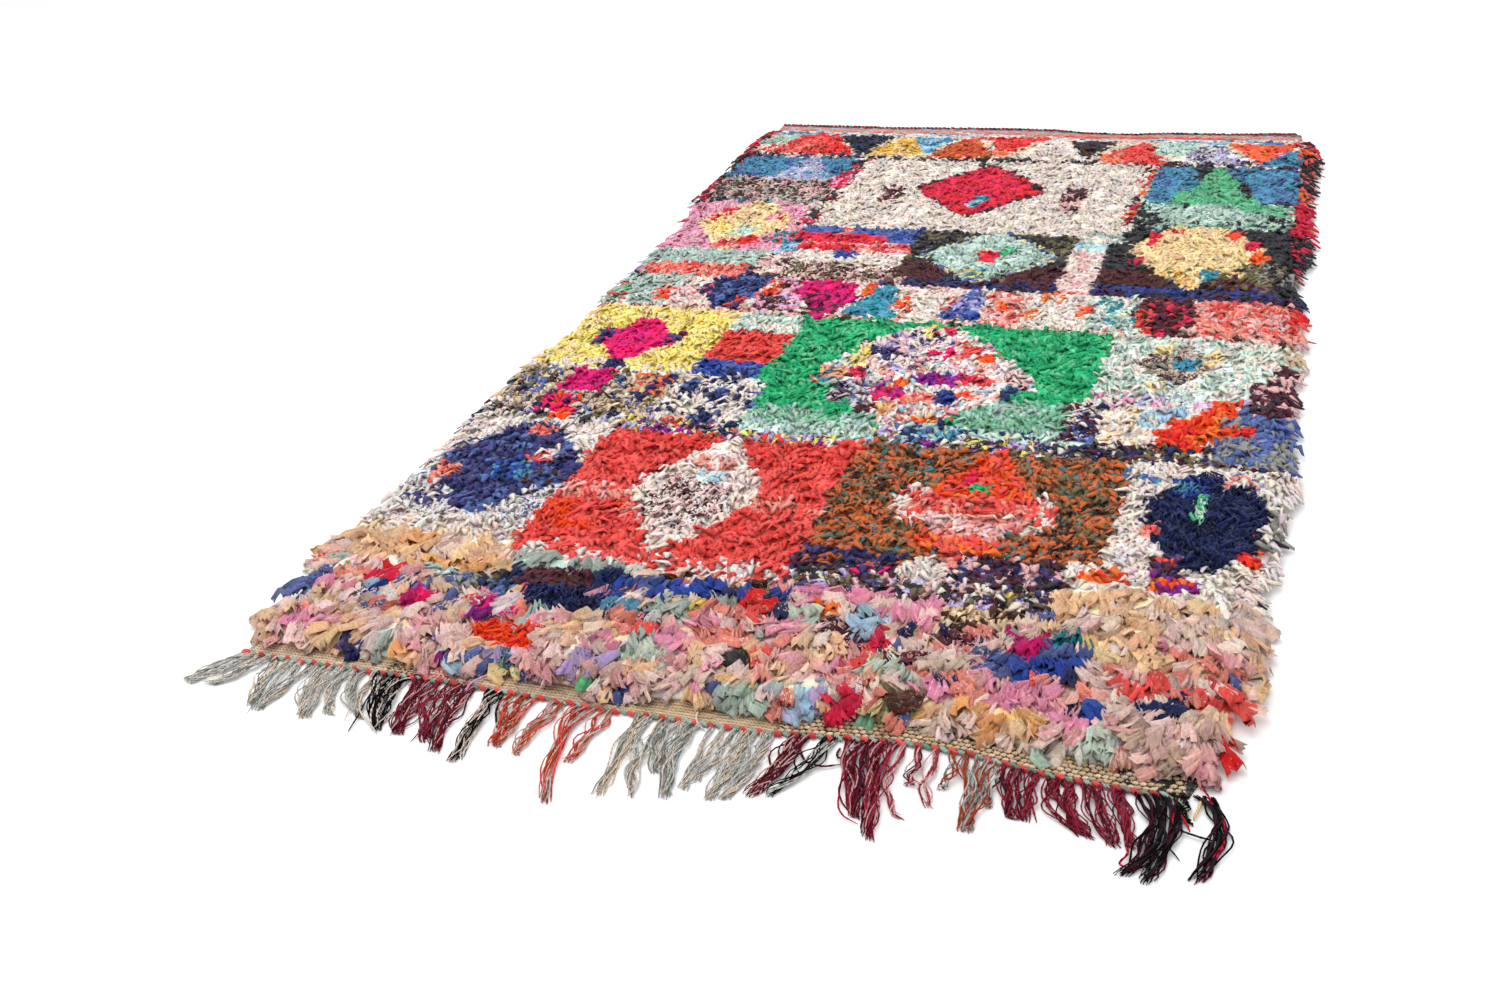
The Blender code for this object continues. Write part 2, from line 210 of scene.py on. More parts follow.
FRONT_CHART = """
wide -80 80 -8 34 0.25 cream peach rose peach blush salmon tan cream denim blush pink
wide -40 50 12 26 0.25 cream coral rose peach salmon pink blush navy tan sage
wide 8 45 13 23 0.3 cream peach rose denim salmon blush pink plum coral
wide -72 -55 10 14 0.2 beige taupe blush
wide -66 -57.5 5 9.5 pink rose
wide -60 -55 0 6 cream peach apricot
wide -54.5 -51 0.5 5 0 indigo navy
wide -51 -46 1 8 sage bone mint
wide -46.5 -41 -1 4 peach apricot
wide -46 -40 8 12.5 pink rose
wide -40 -37 -1 5 0.2 rose purple lilac
wide -36 -33 -2 4 azure sky sky
wide -33 -28 4 7 sky lilac
wide -28 -25 1.5 5 0.4 honey fern rose
wide -20 -11 4 9.5 lilac taupe bone
wide -15 -12.5 0 3.5 0.2 rose leaf blush
wide -10 -7.5 -1 4 denim taupe navy
wide -12.5 -5 7.5 11.5 0.05 mint sage
wide -6 0 -2 7 0.05 blush cream
wide 0 5 -2 4 0.2 beige khaki cream
wide 4 12 2.5 8.5 sage cream peach
wide 15 18.5 0.5 8 sky lilac
wide 19 23.5 3 8 0 red crimson
wide 23.5 28.5 2 6 0.4 honey fern khaki cream
wide 26 31 6 10.5 0.2 brown olive
wide 30 48 -1 9 peach cream cream apricot
wide 41 48 5 9.5 peach apricot cream
wide 47.5 52 0 5 mint cream
wide 51.5 57 2 7 0.05 mint mint cream
wide 58 76 -3 11 0.05 blush taupe rose blush
wide 69.5 76 6 10 coral salmon red
yarn -36.5 -25 7.5 12.5 0 flame flame red
wide -39 -33 12 15.5 indigo purple
wide 2 10 9 12 brown olive charcoal
wide 11 20 9.5 13 pink rose blush
wide 22 27 11 16 beige apricot mint
wide 40 50 9.5 13.5 0.05 pink pink rose
wide 50 53.5 9.5 13.5 0.05 royal navy
wide -51.5 -46.5 14 19 0.05 magenta cerise
wide -60 -53 14 18.5 0.45 white royal sky
wide -75 -65 12.5 19.5 royal denim azure
wide -39 -32 14.5 18.5 0.3 magenta white lilac
wide -28 -22 13 17 blush rose peach
yarn -33 -20 17 23.5 0 midnight navy midnight
wide -20 -13.5 18.5 22.5 0.05 teal azure
wide -9 -3 11 17 pink rose
wide -3 4 13 19 0.2 blush salmon brick cream
wide 38 50 15.5 20.5 0.05 royal navy denim
wide 50 66 13.5 18.5 coral salmon blush cream
wide 64 76 14 20 coral salmon blush
wide 59 64 11 15.5 navy cream
wide -71 -65 20.5 24.5 0.4 purple leaf flame cream
wide -60 -55 19.5 24.5 0.05 crimson red
-55 -42 22.5 28 0.05 sage mint
-45 -40 19 26 0.2 charcoal olive grey
-40 -35 20 28 navy denim charcoal
-36 -23 23.5 28.5 plum brown plum
wide -24 8 25 29.5 royal denim royal navy
wide -21 -11 21.5 25 0.4 white orange royal
wide -8 -5 21.5 25 yellow cream
wide 1 6 21.5 27.5 0.2 red fern coral
wide 7 33 24.5 31.5 0.05 pink pink blush
wide 8 12 21.5 25 0.05 mint sage
wide 11.5 15 24 27.5 0.05 flame orange
wide 17 22 21.5 26.5 0.05 sky sky mint
wide 21 24 17 21 0.05 crimson red
29 41 25 33 0.2 peach beige brown
wide 41 46 20 25.5 0.05 magenta crimson
wide 45.5 49.5 21 28 denim teal
wide 50.5 53.5 22 25.5 0.05 yellow honey
wide 54 66 20 26 0.2 salmon blush peach peach
wide -80 -38 25 34 peach peach apricot cream
wide -40 -15 28.5 33.5 sage mint cream
-15 3 28.5 34 0.3 beige brown cream rust
wide 46 80 27 34 0.15 peach cream beige blush
"""

FIRST_BLOCK_CHART = """
-80 -41 34 74 0.18 bone blush cream | prints denim royal
-80 -41 40 58 0.4 bone bone bone silver | prints denim royal
-80 -36 33 37 bone peach cream
lozenge -68 -42 42 74 0.06 indigo denim indigo navy | fullness 1.2
-67 -63 50 56 coral salmon
-66 -60 42 48 0.2 indigo bone
-57 -50 53 60 royal azure navy
-52 -47 60 65 0.2 coral indigo bone
-50 -44 52 57 brown navy denim
-57 -52 70 73 salmon coral
-42 5 34 78 0.04 coral coral brick
-42 5 31 36 0.04 coral coral bone
-40 5 66 78 0.04 brick brick coral
-42 -20 50 55 salmon coral rose
-12 5 51 55 coral salmon
yarn -42 -36.5 41 48 0 flame flame coral
yarn -38 -30 40 42.5 0 flame coral coral
yarn -30 -25 46 49 0 flame coral salmon
lozenge -29 -8 36 75 0.05 blush blush cream
lozenge -27 -11 41 63 0.55 blush bone rose blush | prints plum brown plum
-21 -15 59 63.5 sky mint
-22 -15 63 67 0.2 rose salmon blush
4 50 42 79 0.5 rust rust rust brown rust olive | prints olive charcoal teal
lozenge 14.5 40.5 38 79 0.05 blush cream coral | cut_near 52 | cut_far 64
lozenge 16.5 38.5 39 78 0.06 coral salmon coral | fullness 0.98
lozenge 16.5 38.5 39 80 0.02 flame orange flame coral | cut_near 62 | fullness 0.95
23.5 26 66 70 0 crimson
24.5 28 63.5 66 emerald leaf
lozenge 16.5 38.5 39 78 salmon blush rose | cut_near 50.5 | cut_far 56 | fullness 0.98
lozenge 16.5 38.5 36 80 0.05 flame orange coral | cut_near 45 | cut_far 49
4 20 33 43 0.3 indigo plum navy rust charcoal
28 47 37 45 0.3 plum indigo charcoal plum navy rose
4 47 31 37 0.3 charcoal cream indigo charcoal lilac olive plum cream rose plum
14 17 35 39 cerise indigo
36.5 38.5 33 36 yellow cream
wide 44 80 30 39 peach peach cream cream
49 80 40 80 0.18 cream blush cream bone cream | prints denim royal
44 50 40 46 blush cream cream
lozenge yarn 53 72 47 76 0.05 navy midnight navy midnight | fullness 1.25
yarn 56 62 68 73 0.05 royal navy azure
yarn 60.3 62.2 60 68.5 0.05 mint leaf
53 56 55 59 coral salmon
70 74 54.5 59 flame coral
67 71 50 53.5 flame red
56 60 44 50 indigo plum coral
56 63 40 44.5 0.05 flame purple orange
46 53 41 44 0.05 flame orange
48 54 72 76 0.2 azure denim cream
64 70 72 76 0.2 salmon cream denim
"""

SECOND_BLOCK_CHART = """
-80 -40 76 81 0.3 navy silver charcoal lilac olive cream plum
-42 0 74.5 80 0.3 navy lilac charcoal cream yellow coral purple
-2 40 77.5 83 0.3 charcoal navy olive yellow lilac purple cream
38 80 78.5 84 0.3 charcoal plum navy olive cream
-80 -36 80 98 0.5 beige olive navy beige taupe cream brown denim beige
-80 -62 90 96 0.3 denim olive charcoal beige
-46 -38 88 99 0.2 coral orange beige navy
-59 -51 88 98 0.04 magenta magenta cerise
-61 -53 79 86 0.2 cerise flame magenta navy
-56 -52 76 80 flame orange
-80 -20 97.5 100.5 0.08 blush bone cream
-37 -19 81 98.5 cream cream cream bone navy
-36 -33 90 96 denim navy
-29 -25.5 87.5 93 denim navy
-21 -18 86 93 navy denim
-30 -25 80 83 navy denim
-20 39 83 129 0.06 emerald emerald emerald leaf
-24 39 98 128 0.06 emerald emerald emerald leaf
-20 3 79 88 fern sage fern sage
-20 5 77.5 82 sage mint sage
18 40 82 97 fern fern sage
14 40 82 85.5 0.15 sage mint navy
-6 -2 86 93 0.05 emerald
lozenge -12 28 82 127 0.2 blush cream white blush white salmon pink cream sky | fullness 1.08
lozenge -8 12 105 127 0.2 indigo navy blush cream lilac rose blush
-8 -4.5 107 116 0.05 yellow honey
-7 -3 102 107 crimson plum
-12 -7 98 106 salmon apricot teal
-8 0 92 100 0.2 denim silver plum
5 11 112 118 0.2 cerise white
12 16 113 119 coral brick
16 19 112 116 flame orange
3 5 122 127 yellow
6 9 123 127 crimson cerise
7 15 101 106 0.05 purple magenta purple
15 21 102 106 crimson coral
0 6 94 99 purple magenta crimson
6 13 92 97 coral salmon
3 6 99 103 flame orange
12 16 93 99 royal navy
16 19 96 99 flame coral
22 27 101 109 blush rose plum
23 26 97 103 teal navy
1 6 88 93 salmon apricot flame
10 16 85 88.5 apricot flame
9 20 79 86 0.15 denim navy sage azure
-1 2 88 92 charcoal plum
38 51 84 100 0.12 cream peach blush cream
36 42 84 98 0.15 navy denim cream plum
48 56 91 104 0.06 sky sky silver
41 46 97 103 0.2 pink navy cream
61 80 80 101 0.05 denim denim grey
51.5 60 84 90.5 0.03 red flame red
57.5 62 86 102 0.03 flame orange flame
53 58 90 95 0.03 red flame
62 67 90 93 0.03 flame red
"""

THIRD_BLOCK_CHART = """
-80 -36 100 129 0.05 yellow yellow honey
-80 -40 98.5 102 yellow blush
lozenge -61 -45.5 102.5 122.5 0.03 cerise cerise magenta | fullness 1.14
-62 -59 109 117 navy indigo cerise
-48 -44 112 116 indigo cerise charcoal
-55 -51 98 102.5 navy indigo
-36.5 -22 118.5 128.5 0.12 mint cream sage
-36.5 -22 105 119 0.05 brick brick coral
-36.5 -23 98.5 105.5 0.08 royal denim royal navy
39 80 102 129 0.12 mint cream bone cream mint sage
39 65 99 103 0.15 mint pink cream lilac
65.5 80 98 119 0.12 plum plum charcoal rose
62 69 112 129 0.12 mint cream
70 80 120 132 0.12 mint cream beige
lozenge 45 59 108 126 0.6 taupe grey taupe grey | prints brown plum olive
51 55.5 114.5 119 azure teal
56.5 60 117 122 honey cream
48 51 121 127 honey mint
48 51 104 109 honey cream
59 64 96 103 0.03 flame orange flame
"""

FOURTH_BLOCK_CHART = """
-80 80 128.5 132 0.3 rose blush salmon beige brown cream
-80 -55 130 148 0.08 sage sage silver
-72 -66 130 141 0.12 leaf sage coral sage
-59 -53 133 140 coral flame salmon
-55 -44 130 146 0.08 blush cream rose
lozenge -49 -35 130 154 0.06 navy denim navy | fullness 1.2
-50 -47 137 143 coral navy
-41 -38 130 136 coral flame indigo
-36 -26 130 149 0.3 plum rose pink lilac brown
-37 -33 138 146 0.2 flame coral cream
-29 -16 139 147.5 0.03 magenta cerise magenta
wedge -28 -14 141 127 0.03 magenta magenta plum | point -20
-15 -12 141 148 orange flame
wedge -16 -5 130 149 0.06 azure teal azure | point -10
-7 -3 134 141 orange flame cream
-7 7 140 149 cream cream rose
-3 3 129 143 0.06 cream cream bone
3 7 132 142 orange coral cream
wedge 4 13 131 150 denim lilac royal | point 8.5
12 21 130 149 0.25 salmon rose coral cream
14 17 136 142 flame orange
20 33 130 148 0.06 cream cream bone
22 27 142 147 orange cream
30 33 136 142 flame orange salmon
20 23 133 138 orange cream
33 43 130 148 0.25 cream sage mint sage teal
lozenge 41 54 128 152 0.08 plum plum brown crimson | fullness 1.25
42 45 132 141 flame coral plum
53 80 129 149 0.12 salmon salmon coral rose
70 80 138 149 coral red coral
-80 -66 146 153 0.15 indigo plum lilac
-68 -43 147 155 salmon salmon coral
-44 -36 145 153 0.05 navy denim
-14 80 147 154 0.15 navy indigo plum charcoal navy plum
25 31 147 153 salmon coral rose
-80 -41 154 164 0.06 sage sage sage silver
"""

FIFTH_BLOCK_CHART = """
-80 -40 163 195 0.04 pink pink pink rose
lozenge -65 -43 163 197 0.06 honey peach honey
-55 -50 171 178 0.08 mint sage
-62 -57 174 180 0.06 yellow honey
-62 -59 186 190 0.05 red crimson
-64 -60 181 185 0.05 red flame honey
-52 -47 166 172 0.08 red coral flame
-57 -52 164 168 0.08 crimson salmon
-46 -43 177 183 0.08 honey salmon
-50 -46 183 188 0.08 honey crimson pink
-45 -39 168 176 0.2 teal charcoal pink flame
-41 -36 162 171 0.12 azure sky navy
-40 -8 148 163 0.6 rose brown olive rose cream taupe | prints brown plum
-43 -35 149 162 0.3 brown blush rose cream
-36 -10 158 166 0.06 cream cream bone
-27 -22 161 167 0.08 denim royal
-37 -10 165 171.5 0.15 crimson salmon rose coral
-36 -24 165 168 0.05 crimson red
-39 -18 170.5 178 0.04 crimson crimson red
-24 -16 172 175.5 red flame crimson
-39 -10 175.5 182 0.06 denim denim royal
-18 -10 171 179 0.06 denim royal
-30 -27 174 181 flame salmon denim
-11 25 152 181 0.08 charcoal charcoal olive
-11 0 152 162 0.06 brown brown plum
13 25 152 161 0.06 brown plum brown
lozenge -8 21 151 181 0.12 denim honey sage charcoal
lozenge -6 19 153 180 0.06 sage sage mint
5 9 162.5 168.5 0.05 crimson red
9.5 12 167 172 0.06 leaf emerald sage
4 8 153 158 0.06 yellow azure
24 31 149 172 blush cream rose blush
24 33 171 180 0.08 sage sky mint
31 80 152 192 0.04 charcoal charcoal charcoal
31 45 152 162 0.06 brown plum brown
53 66 152 161 brown plum olive
60 72 158 168 0.2 olive charcoal grey
31 66 150 153 0.08 navy royal indigo
lozenge 36 63 156 192 0.05 honey honey peach | fullness 1.18
42 60 160 163 0.15 apricot olive honey
wedge 46 54 163 152 0.08 honey apricot mustard | point 50
52 55 157 163 teal azure
43 46 184 188 crimson honey
39 41 176 184 0.05 crimson red
55 58 181 187 0.05 crimson flame
59 62 175 181 0.05 crimson red
61 64 168 173 0.05 flame orange
37 39.5 165 170 0.05 crimson charcoal
"""

SIXTH_BLOCK_CHART = """
-40 34 180 232 0.04 cream cream bone
24 34 176 184 0.06 cream sage
lozenge -20 11.5 190 227 0.05 charcoal crimson charcoal | fullness 1.08
lozenge -18.5 10 191.5 225.5 0.03 crimson crimson red | fullness 1.06
-5 -1.5 196.5 205 0.06 azure teal sky
-9 -6 226 233 0.06 charcoal cream
-27 -22 199 209 0.2 plum cream rose brown
16 21 194 212 0.2 plum rose brown cream plum
-80 -39 194 216 0.5 pink plum charcoal silver rose teal
-72 -40 197 215 0.6 rose plum taupe silver rose brown | prints plum brown fern
-80 -39 214 235 0.06 azure azure denim
wedge -59 -44 212 232 0.4 lilac silver lilac azure | point -52
-41 -37.5 180 230 charcoal crimson cream charcoal
-42 -38 207 216 crimson pink
32 36 188 232 crimson charcoal orange cream
34 80 188 206 0.2 sage mint charcoal fern
40 62 192 201 mint sage sage
34 41 184 200 charcoal sage charcoal
57 66 198 204 0.08 leaf fern
35 80 205 233 0.06 azure azure azure denim
36 42 203 208 0.06 azure denim
wedge 40 60 203 236 0.05 leaf leaf fern | point 49
42 47 212 232 0.05 charcoal azure charcoal azure azure
55 58 208 218 0.03 charcoal
45 48 222 230 0.03 charcoal
51 54 221 229 0.05 indigo charcoal azure
wedge 43 58 203 230 0.05 leaf leaf fern | point 49.5
"""

LAST_BLOCK_CHART = """
-80 80 232 256.5 0.05 cream tan cream
-80 80 229.5 233.5 0.06 charcoal charcoal brown cream
-62 -40 230 233 0.06 charcoal indigo cream
-72 -59 238 252 0.05 sage sage silver
-72 -64 233 240 cream blush brick
wedge -66 -44 233 258 0.04 red coral red | point -57
wedge -68 -52 233.5 246 0.06 coral salmon coral | point -56
wedge -53 -35 253 233 0.03 charcoal charcoal navy | point -41.5
wedge -39.5 -23 232.5 252 0.04 mustard mustard honey | point -33
wedge -31 -19 252 234 0.05 azure azure sky | point -24
wedge -23 -7 232.5 252 0.04 rust rust brick | point -15
wedge -11 4 252 234 0.03 red red coral | point -4
-8 -3 234 240 salmon orange red
wedge -1 20 232 251 0.04 cream bone cream | point 7
wedge 10 23 252 234 0.04 charcoal charcoal brown | point 17.5
wedge 19.5 37 231 251 0.04 coral red coral | point 29
20 26 231 239 0.08 orange salmon coral
33 43 238 253 0.05 sage sage mint
wedge 40 55.5 232 251 0.35 lilac silver indigo white | point 47
wedge 49 66.5 251 232 0.06 flame coral orange | point 59
wedge 58 72 231 244 0.06 azure azure denim | point 66
-80 80 251.5 254 sky azure cream blush sky
-72 -58 251 256 0.06 azure azure sky
-14 4 249 253 0.05 red coral
44 50 249 254 0.06 azure sky
57 63 249 256 0.06 azure denim
-58.5 -56 251 258 0.05 red coral
-80 80 254.5 259 0.15 blush rose sky cream salmon
"""

SIDE_CHART = """
-80 -71 36 50 bone charcoal cream
-80 -70.5 66 76 bone navy denim
-80 -70 76 84 charcoal navy taupe
-80 -70.5 165 194 0.05 crimson pink crimson charcoal
-80 -71 194 232 0.05 charcoal crimson charcoal plum
-80 -71.5 232 245 0.05 charcoal brick crimson
-80 -71 245 262 0.05 coral brick charcoal
68.5 80 163 190 0.05 charcoal charcoal crimson
68 80 186 206 0.05 crimson red crimson
68 80 206 222 0.05 charcoal orange charcoal coral
67.5 80 222 236 0.05 charcoal coral charcoal
67 80 236 246 0.05 orange coral charcoal
67 80 244 262 0.05 crimson charcoal red
66 70 248 258 rose plum red
70.5 80 50 70 cream bone grey
71.5 80 41 43 0 grey charcoal
71.5 80 58.5 60.5 0 charcoal grey
"""


def chart(rows: str) -> Iterator[Patch]:
    """Read a chart of patches.

    Args:
        rows: a patch in each line: its shape, if no box, its cut, if no strip, then left, right,
            near, far, the printed share, if not the usual one, and its dyes. Other settings
            follow by name, each after a bar.

    Yields:
        The patches. A later one lies over those before it.
    """
    for row in rows.strip().splitlines():
        patch, *settings = row.split("|")
        words = patch.split()
        shape = SHAPES.get(words[0], Patch)
        cut = next((CUTS[word] for word in words[:2] if word in CUTS), Knot.STRIP)
        numbers = [float(word) for word in words if not word.isalpha()]
        dyes = " ".join(word for word in words if word in DYES)
        named = {}
        for setting in settings:
            name, value = setting.strip().split(" ", 1)
            named[name] = value if value[0].isalpha() else float(value)
        yield shape(*numbers[:4], dyes, *numbers[4:], knot=cut, **named)


PATTERN = tuple(patch for rows in (
    "-90 90 -20 300 cream bone", FRONT_CHART, FIRST_BLOCK_CHART, SECOND_BLOCK_CHART,
    THIRD_BLOCK_CHART, FOURTH_BLOCK_CHART, FIFTH_BLOCK_CHART, SIXTH_BLOCK_CHART,
    LAST_BLOCK_CHART, SIDE_CHART) for patch in chart(rows))


class SideRow(NamedTuple):
    """Reach of the tufts at the two long sides, at one distance from the front edge."""
    y: float
    left: float
    right: float


SIDE_ROWS = (
    SideRow(0, -71.0, 70.5),
    SideRow(20, -71.8, 72.6),
    SideRow(40, -71.5, 71.9),
    SideRow(60, -71.3, 74.3),
    SideRow(80, -71.9, 75.4),
    SideRow(100, -71.7, 73.6),
    SideRow(120, -69.9, 73.6),
    SideRow(140, -71.0, 73.4),
    SideRow(160, -70.2, 70.6),
    SideRow(180, -70.3, 72.8),
    SideRow(200, -73.7, 72.1),
    SideRow(220, -74.4, 71.5),
    SideRow(240, -74.6, 71.9),
    SideRow(266, -75.3, 68.6),
)

FRONT_EDGE = (
    (-72.0, 0.0), (-45.0, 0.1), (-32.0, 0.3), (-10.0, -0.5), (13.0, -0.3), (22.0, 0.8),
    (30.0, 1.7), (39.0, 1.6), (49.0, -0.2), (60.0, -0.9), (72.0, 0.1),
)

BACK_EDGE = (
    (-74.0, 264.6), (-40.0, 263.6), (-10.0, 264.4), (4.0, 264.0), (13.0, 261.8),
    (25.0, 261.4), (33.0, 262.9), (51.0, 263.0), (60.0, 264.2), (70.0, 264.2),
)

PILE_FRONT_EDGE = (
    (-72.0, 3.4), (-45.0, 3.0), (-30.0, 3.4), (-8.0, 2.4), (3.0, 3.8), (12.0, 3.2),
    (24.0, 4.9), (38.0, 5.0), (50.0, 3.6), (62.0, 3.2), (72.0, 2.4),
)


def along(edge: tuple, places: np.ndarray) -> np.ndarray:
    """Read a wavy edge's second number at many places of its first."""
    table = np.array(edge)
    return np.interp(places, table[:, 0], table[:, 1])


def side_left(y: np.ndarray) -> np.ndarray:
    """Return the reach of the tufts at the left side, in chart centimetres."""
    return along(tuple((row.y, row.left) for row in SIDE_ROWS), y)


def side_right(y: np.ndarray) -> np.ndarray:
    """Return the reach of the tufts at the right side, in chart centimetres."""
    return along(tuple((row.y, row.right) for row in SIDE_ROWS), y)


class Reading(NamedTuple):
    """What the pattern says for many knots: first dye, printed dye, its share, and the cut."""
    dye: np.ndarray
    fleck: np.ndarray
    share: np.ndarray
    knot: np.ndarray

    def pick(self, chosen: np.ndarray) -> "Reading":
        """Keep the chosen knots."""
        return Reading(*(part[chosen] for part in self))


@dataclass
class PatternReader:
    """Reads the charted pattern, with the unevenness of rags knotted by hand."""
    patches: tuple
    seed: int = 5
    clump_width: float = 2.4
    clump_length: float = 1.9
    clump_share: float = 0.55
    wide_clump: float = 2.5
    wide_share: float = 0.85
    # Painted shade towards the back: where it starts, where it is full, and how dark it gets there.
    dulled_from: float = 110.0
    dulled_to: float = 190.0
    dulled: float = 0.83

    def read(self, x: np.ndarray, y: np.ndarray) -> Reading:
        """Dye knots by the patch that each lies on.

        Args:
            x: places across the rug, in chart centimetres.
            y: places along the rug, in chart centimetres.

        Returns:
            The dyes in linear light, the printed share, and the cut of each knot.
        """
        rng = np.random.default_rng(self.seed)
        table = rng.random((64, 64))
        owner = np.zeros(len(x), dtype=int)
        for index, patch in enumerate(self.patches):
            owner[patch.covers(x, y)] = index
        dye = np.zeros((len(x), 3))
        fleck = np.zeros((len(x), 3))
        share = np.zeros(len(x))
        knot = np.zeros(len(x), dtype=int)
        for index in np.unique(owner):
            patch = self.patches[index]
            mine = np.flatnonzero(owner == index)
            colours = linear(patch.dyes)
            wide = patch.knot is Knot.WIDE_RAG
            size = self.wide_clump if wide else 1.0
            column = np.floor(x[mine] / self.clump_width / size).astype(int) + 7 * index
            row = np.floor(y[mine] / self.clump_length / size ** 0.5).astype(int) + 13 * index
            alike = self.wide_share if wide else self.clump_share
            lot = np.where(rng.random(len(mine)) < alike, table[column % 64, row % 64],
                           rng.random(len(mine)))
            dye[mine] = colours[(lot * len(colours)).astype(int)]
            inks = linear(patch.prints or patch.dyes)
            fleck[mine] = inks[rng.integers(0, len(inks), len(mine))]
            share[mine] = patch.print_share * 2 * rng.random(len(mine))
            knot[mine] = patch.knot.value
        tone = np.clip(1.05 + 0.09 * rng.standard_normal((len(x), 1)), 0.7, 1.3)
        drift = 1 + 0.05 * rng.standard_normal((len(x), 3))
        # Painted shade: dyes and flecks darken towards the back of the rug, in place of shade that
        # the lamps don't cast there.
        dull = np.interp(y, (self.dulled_from, self.dulled_to), (1.0, self.dulled))[:, None]
        dye = np.clip(dye * tone * drift * dull, 0, BRIGHTEST)
        return Reading(dye, fleck * dull, share, knot)


def raw_object(name: str, points: np.ndarray, corners: np.ndarray,
               sizes: np.ndarray) -> bpy.types.Object:
    """Make a mesh object from arrays.

    Args:
        name: the piece's name.
        points: vertices in metres, a row of three for each.
        corners: vertex numbers of the faces, one after another.
        sizes: how many corners each face has.

    Returns:
        The new object, linked to the scene.
    """
    mesh = bpy.data.meshes.new(name)
    mesh.vertices.add(len(points))
    mesh.vertices.foreach_set("co", np.ascontiguousarray(points, dtype=np.float32).ravel())
    mesh.loops.add(len(corners))
    mesh.loops.foreach_set("vertex_index", np.ascontiguousarray(corners, dtype=np.int32))
    mesh.polygons.add(len(sizes))
    starts = np.concatenate(([0], np.cumsum(sizes)[:-1]))
    mesh.polygons.foreach_set("loop_start", starts.astype(np.int32))
    mesh.update(calc_edges=True)
    mesh.validate()
    piece = bpy.data.objects.new(name, mesh)
    bpy.context.collection.objects.link(piece)
    return piece


def paint(piece: bpy.types.Object, name: str, rgb: np.ndarray, alpha: np.ndarray) -> None:
    """Store a colour and a fourth number at each vertex of a piece.

    Args:
        piece: the mesh object.
        name: the attribute's name.
        rgb: linear colour at each vertex.
        alpha: the fourth number at each vertex.
    """
    layer = piece.data.color_attributes.new(name, "FLOAT_COLOR", "POINT")
    layer.data.foreach_set("color", np.column_stack((rgb, alpha)).astype(np.float32).ravel())


def lay_uv(piece: bpy.types.Object, name: str, places: np.ndarray) -> None:
    """Store a UV map, one place for each corner of a piece's faces."""
    layer = piece.data.uv_layers.new(name=name)
    layer.data.foreach_set("uv", np.ascontiguousarray(places, dtype=np.float32).ravel())


def soften(piece: bpy.types.Object) -> None:
    """Shade a piece smooth."""
    piece.data.polygons.foreach_set("use_smooth", np.ones(len(piece.data.polygons), dtype=bool))


def unit(vectors: np.ndarray) -> np.ndarray:
    """Give each vector the length one."""
    return vectors / np.maximum(np.linalg.norm(vectors, axis=-1, keepdims=True), 1e-9)


def grid_faces(rows: int, columns: int) -> tuple[np.ndarray, np.ndarray]:
    """Number a grid's faces.

    Args:
        rows: how many rows of points it has.
        columns: how many points each row has.

    Returns:
        Its quads, a row of four points for each, and the points round its rim.
    """
    number = np.arange(rows * columns).reshape(rows, columns)
    quads = np.stack((number[:-1, :-1], number[:-1, 1:], number[1:, 1:], number[1:, :-1]),
                     axis=-1).reshape(-1, 4)
    rim = np.concatenate((number[0, :], number[1:, -1], number[-1, -2::-1],
                          number[-2:0:-1, 0]))
    return quads, rim


def oval(swell: np.ndarray, sides: int, wide: float = 1.0, tall: float = 1.0) -> np.ndarray:
    """Make an oval section for each ring of each tube.

    Args:
        swell: the radius at each ring, a row for each tube.
        sides: how many points a ring has.
        wide: the share of the radius across the tube.
        tall: the share of the radius up from it.

    Returns:
        Sections as Tubes takes them.
    """
    turn = np.arange(sides) * 2 * math.pi / sides
    swell = swell[..., None]
    return np.stack((wide * swell * np.cos(turn), tall * swell * np.sin(turn), 0 * swell * turn),
                    axis=-1)


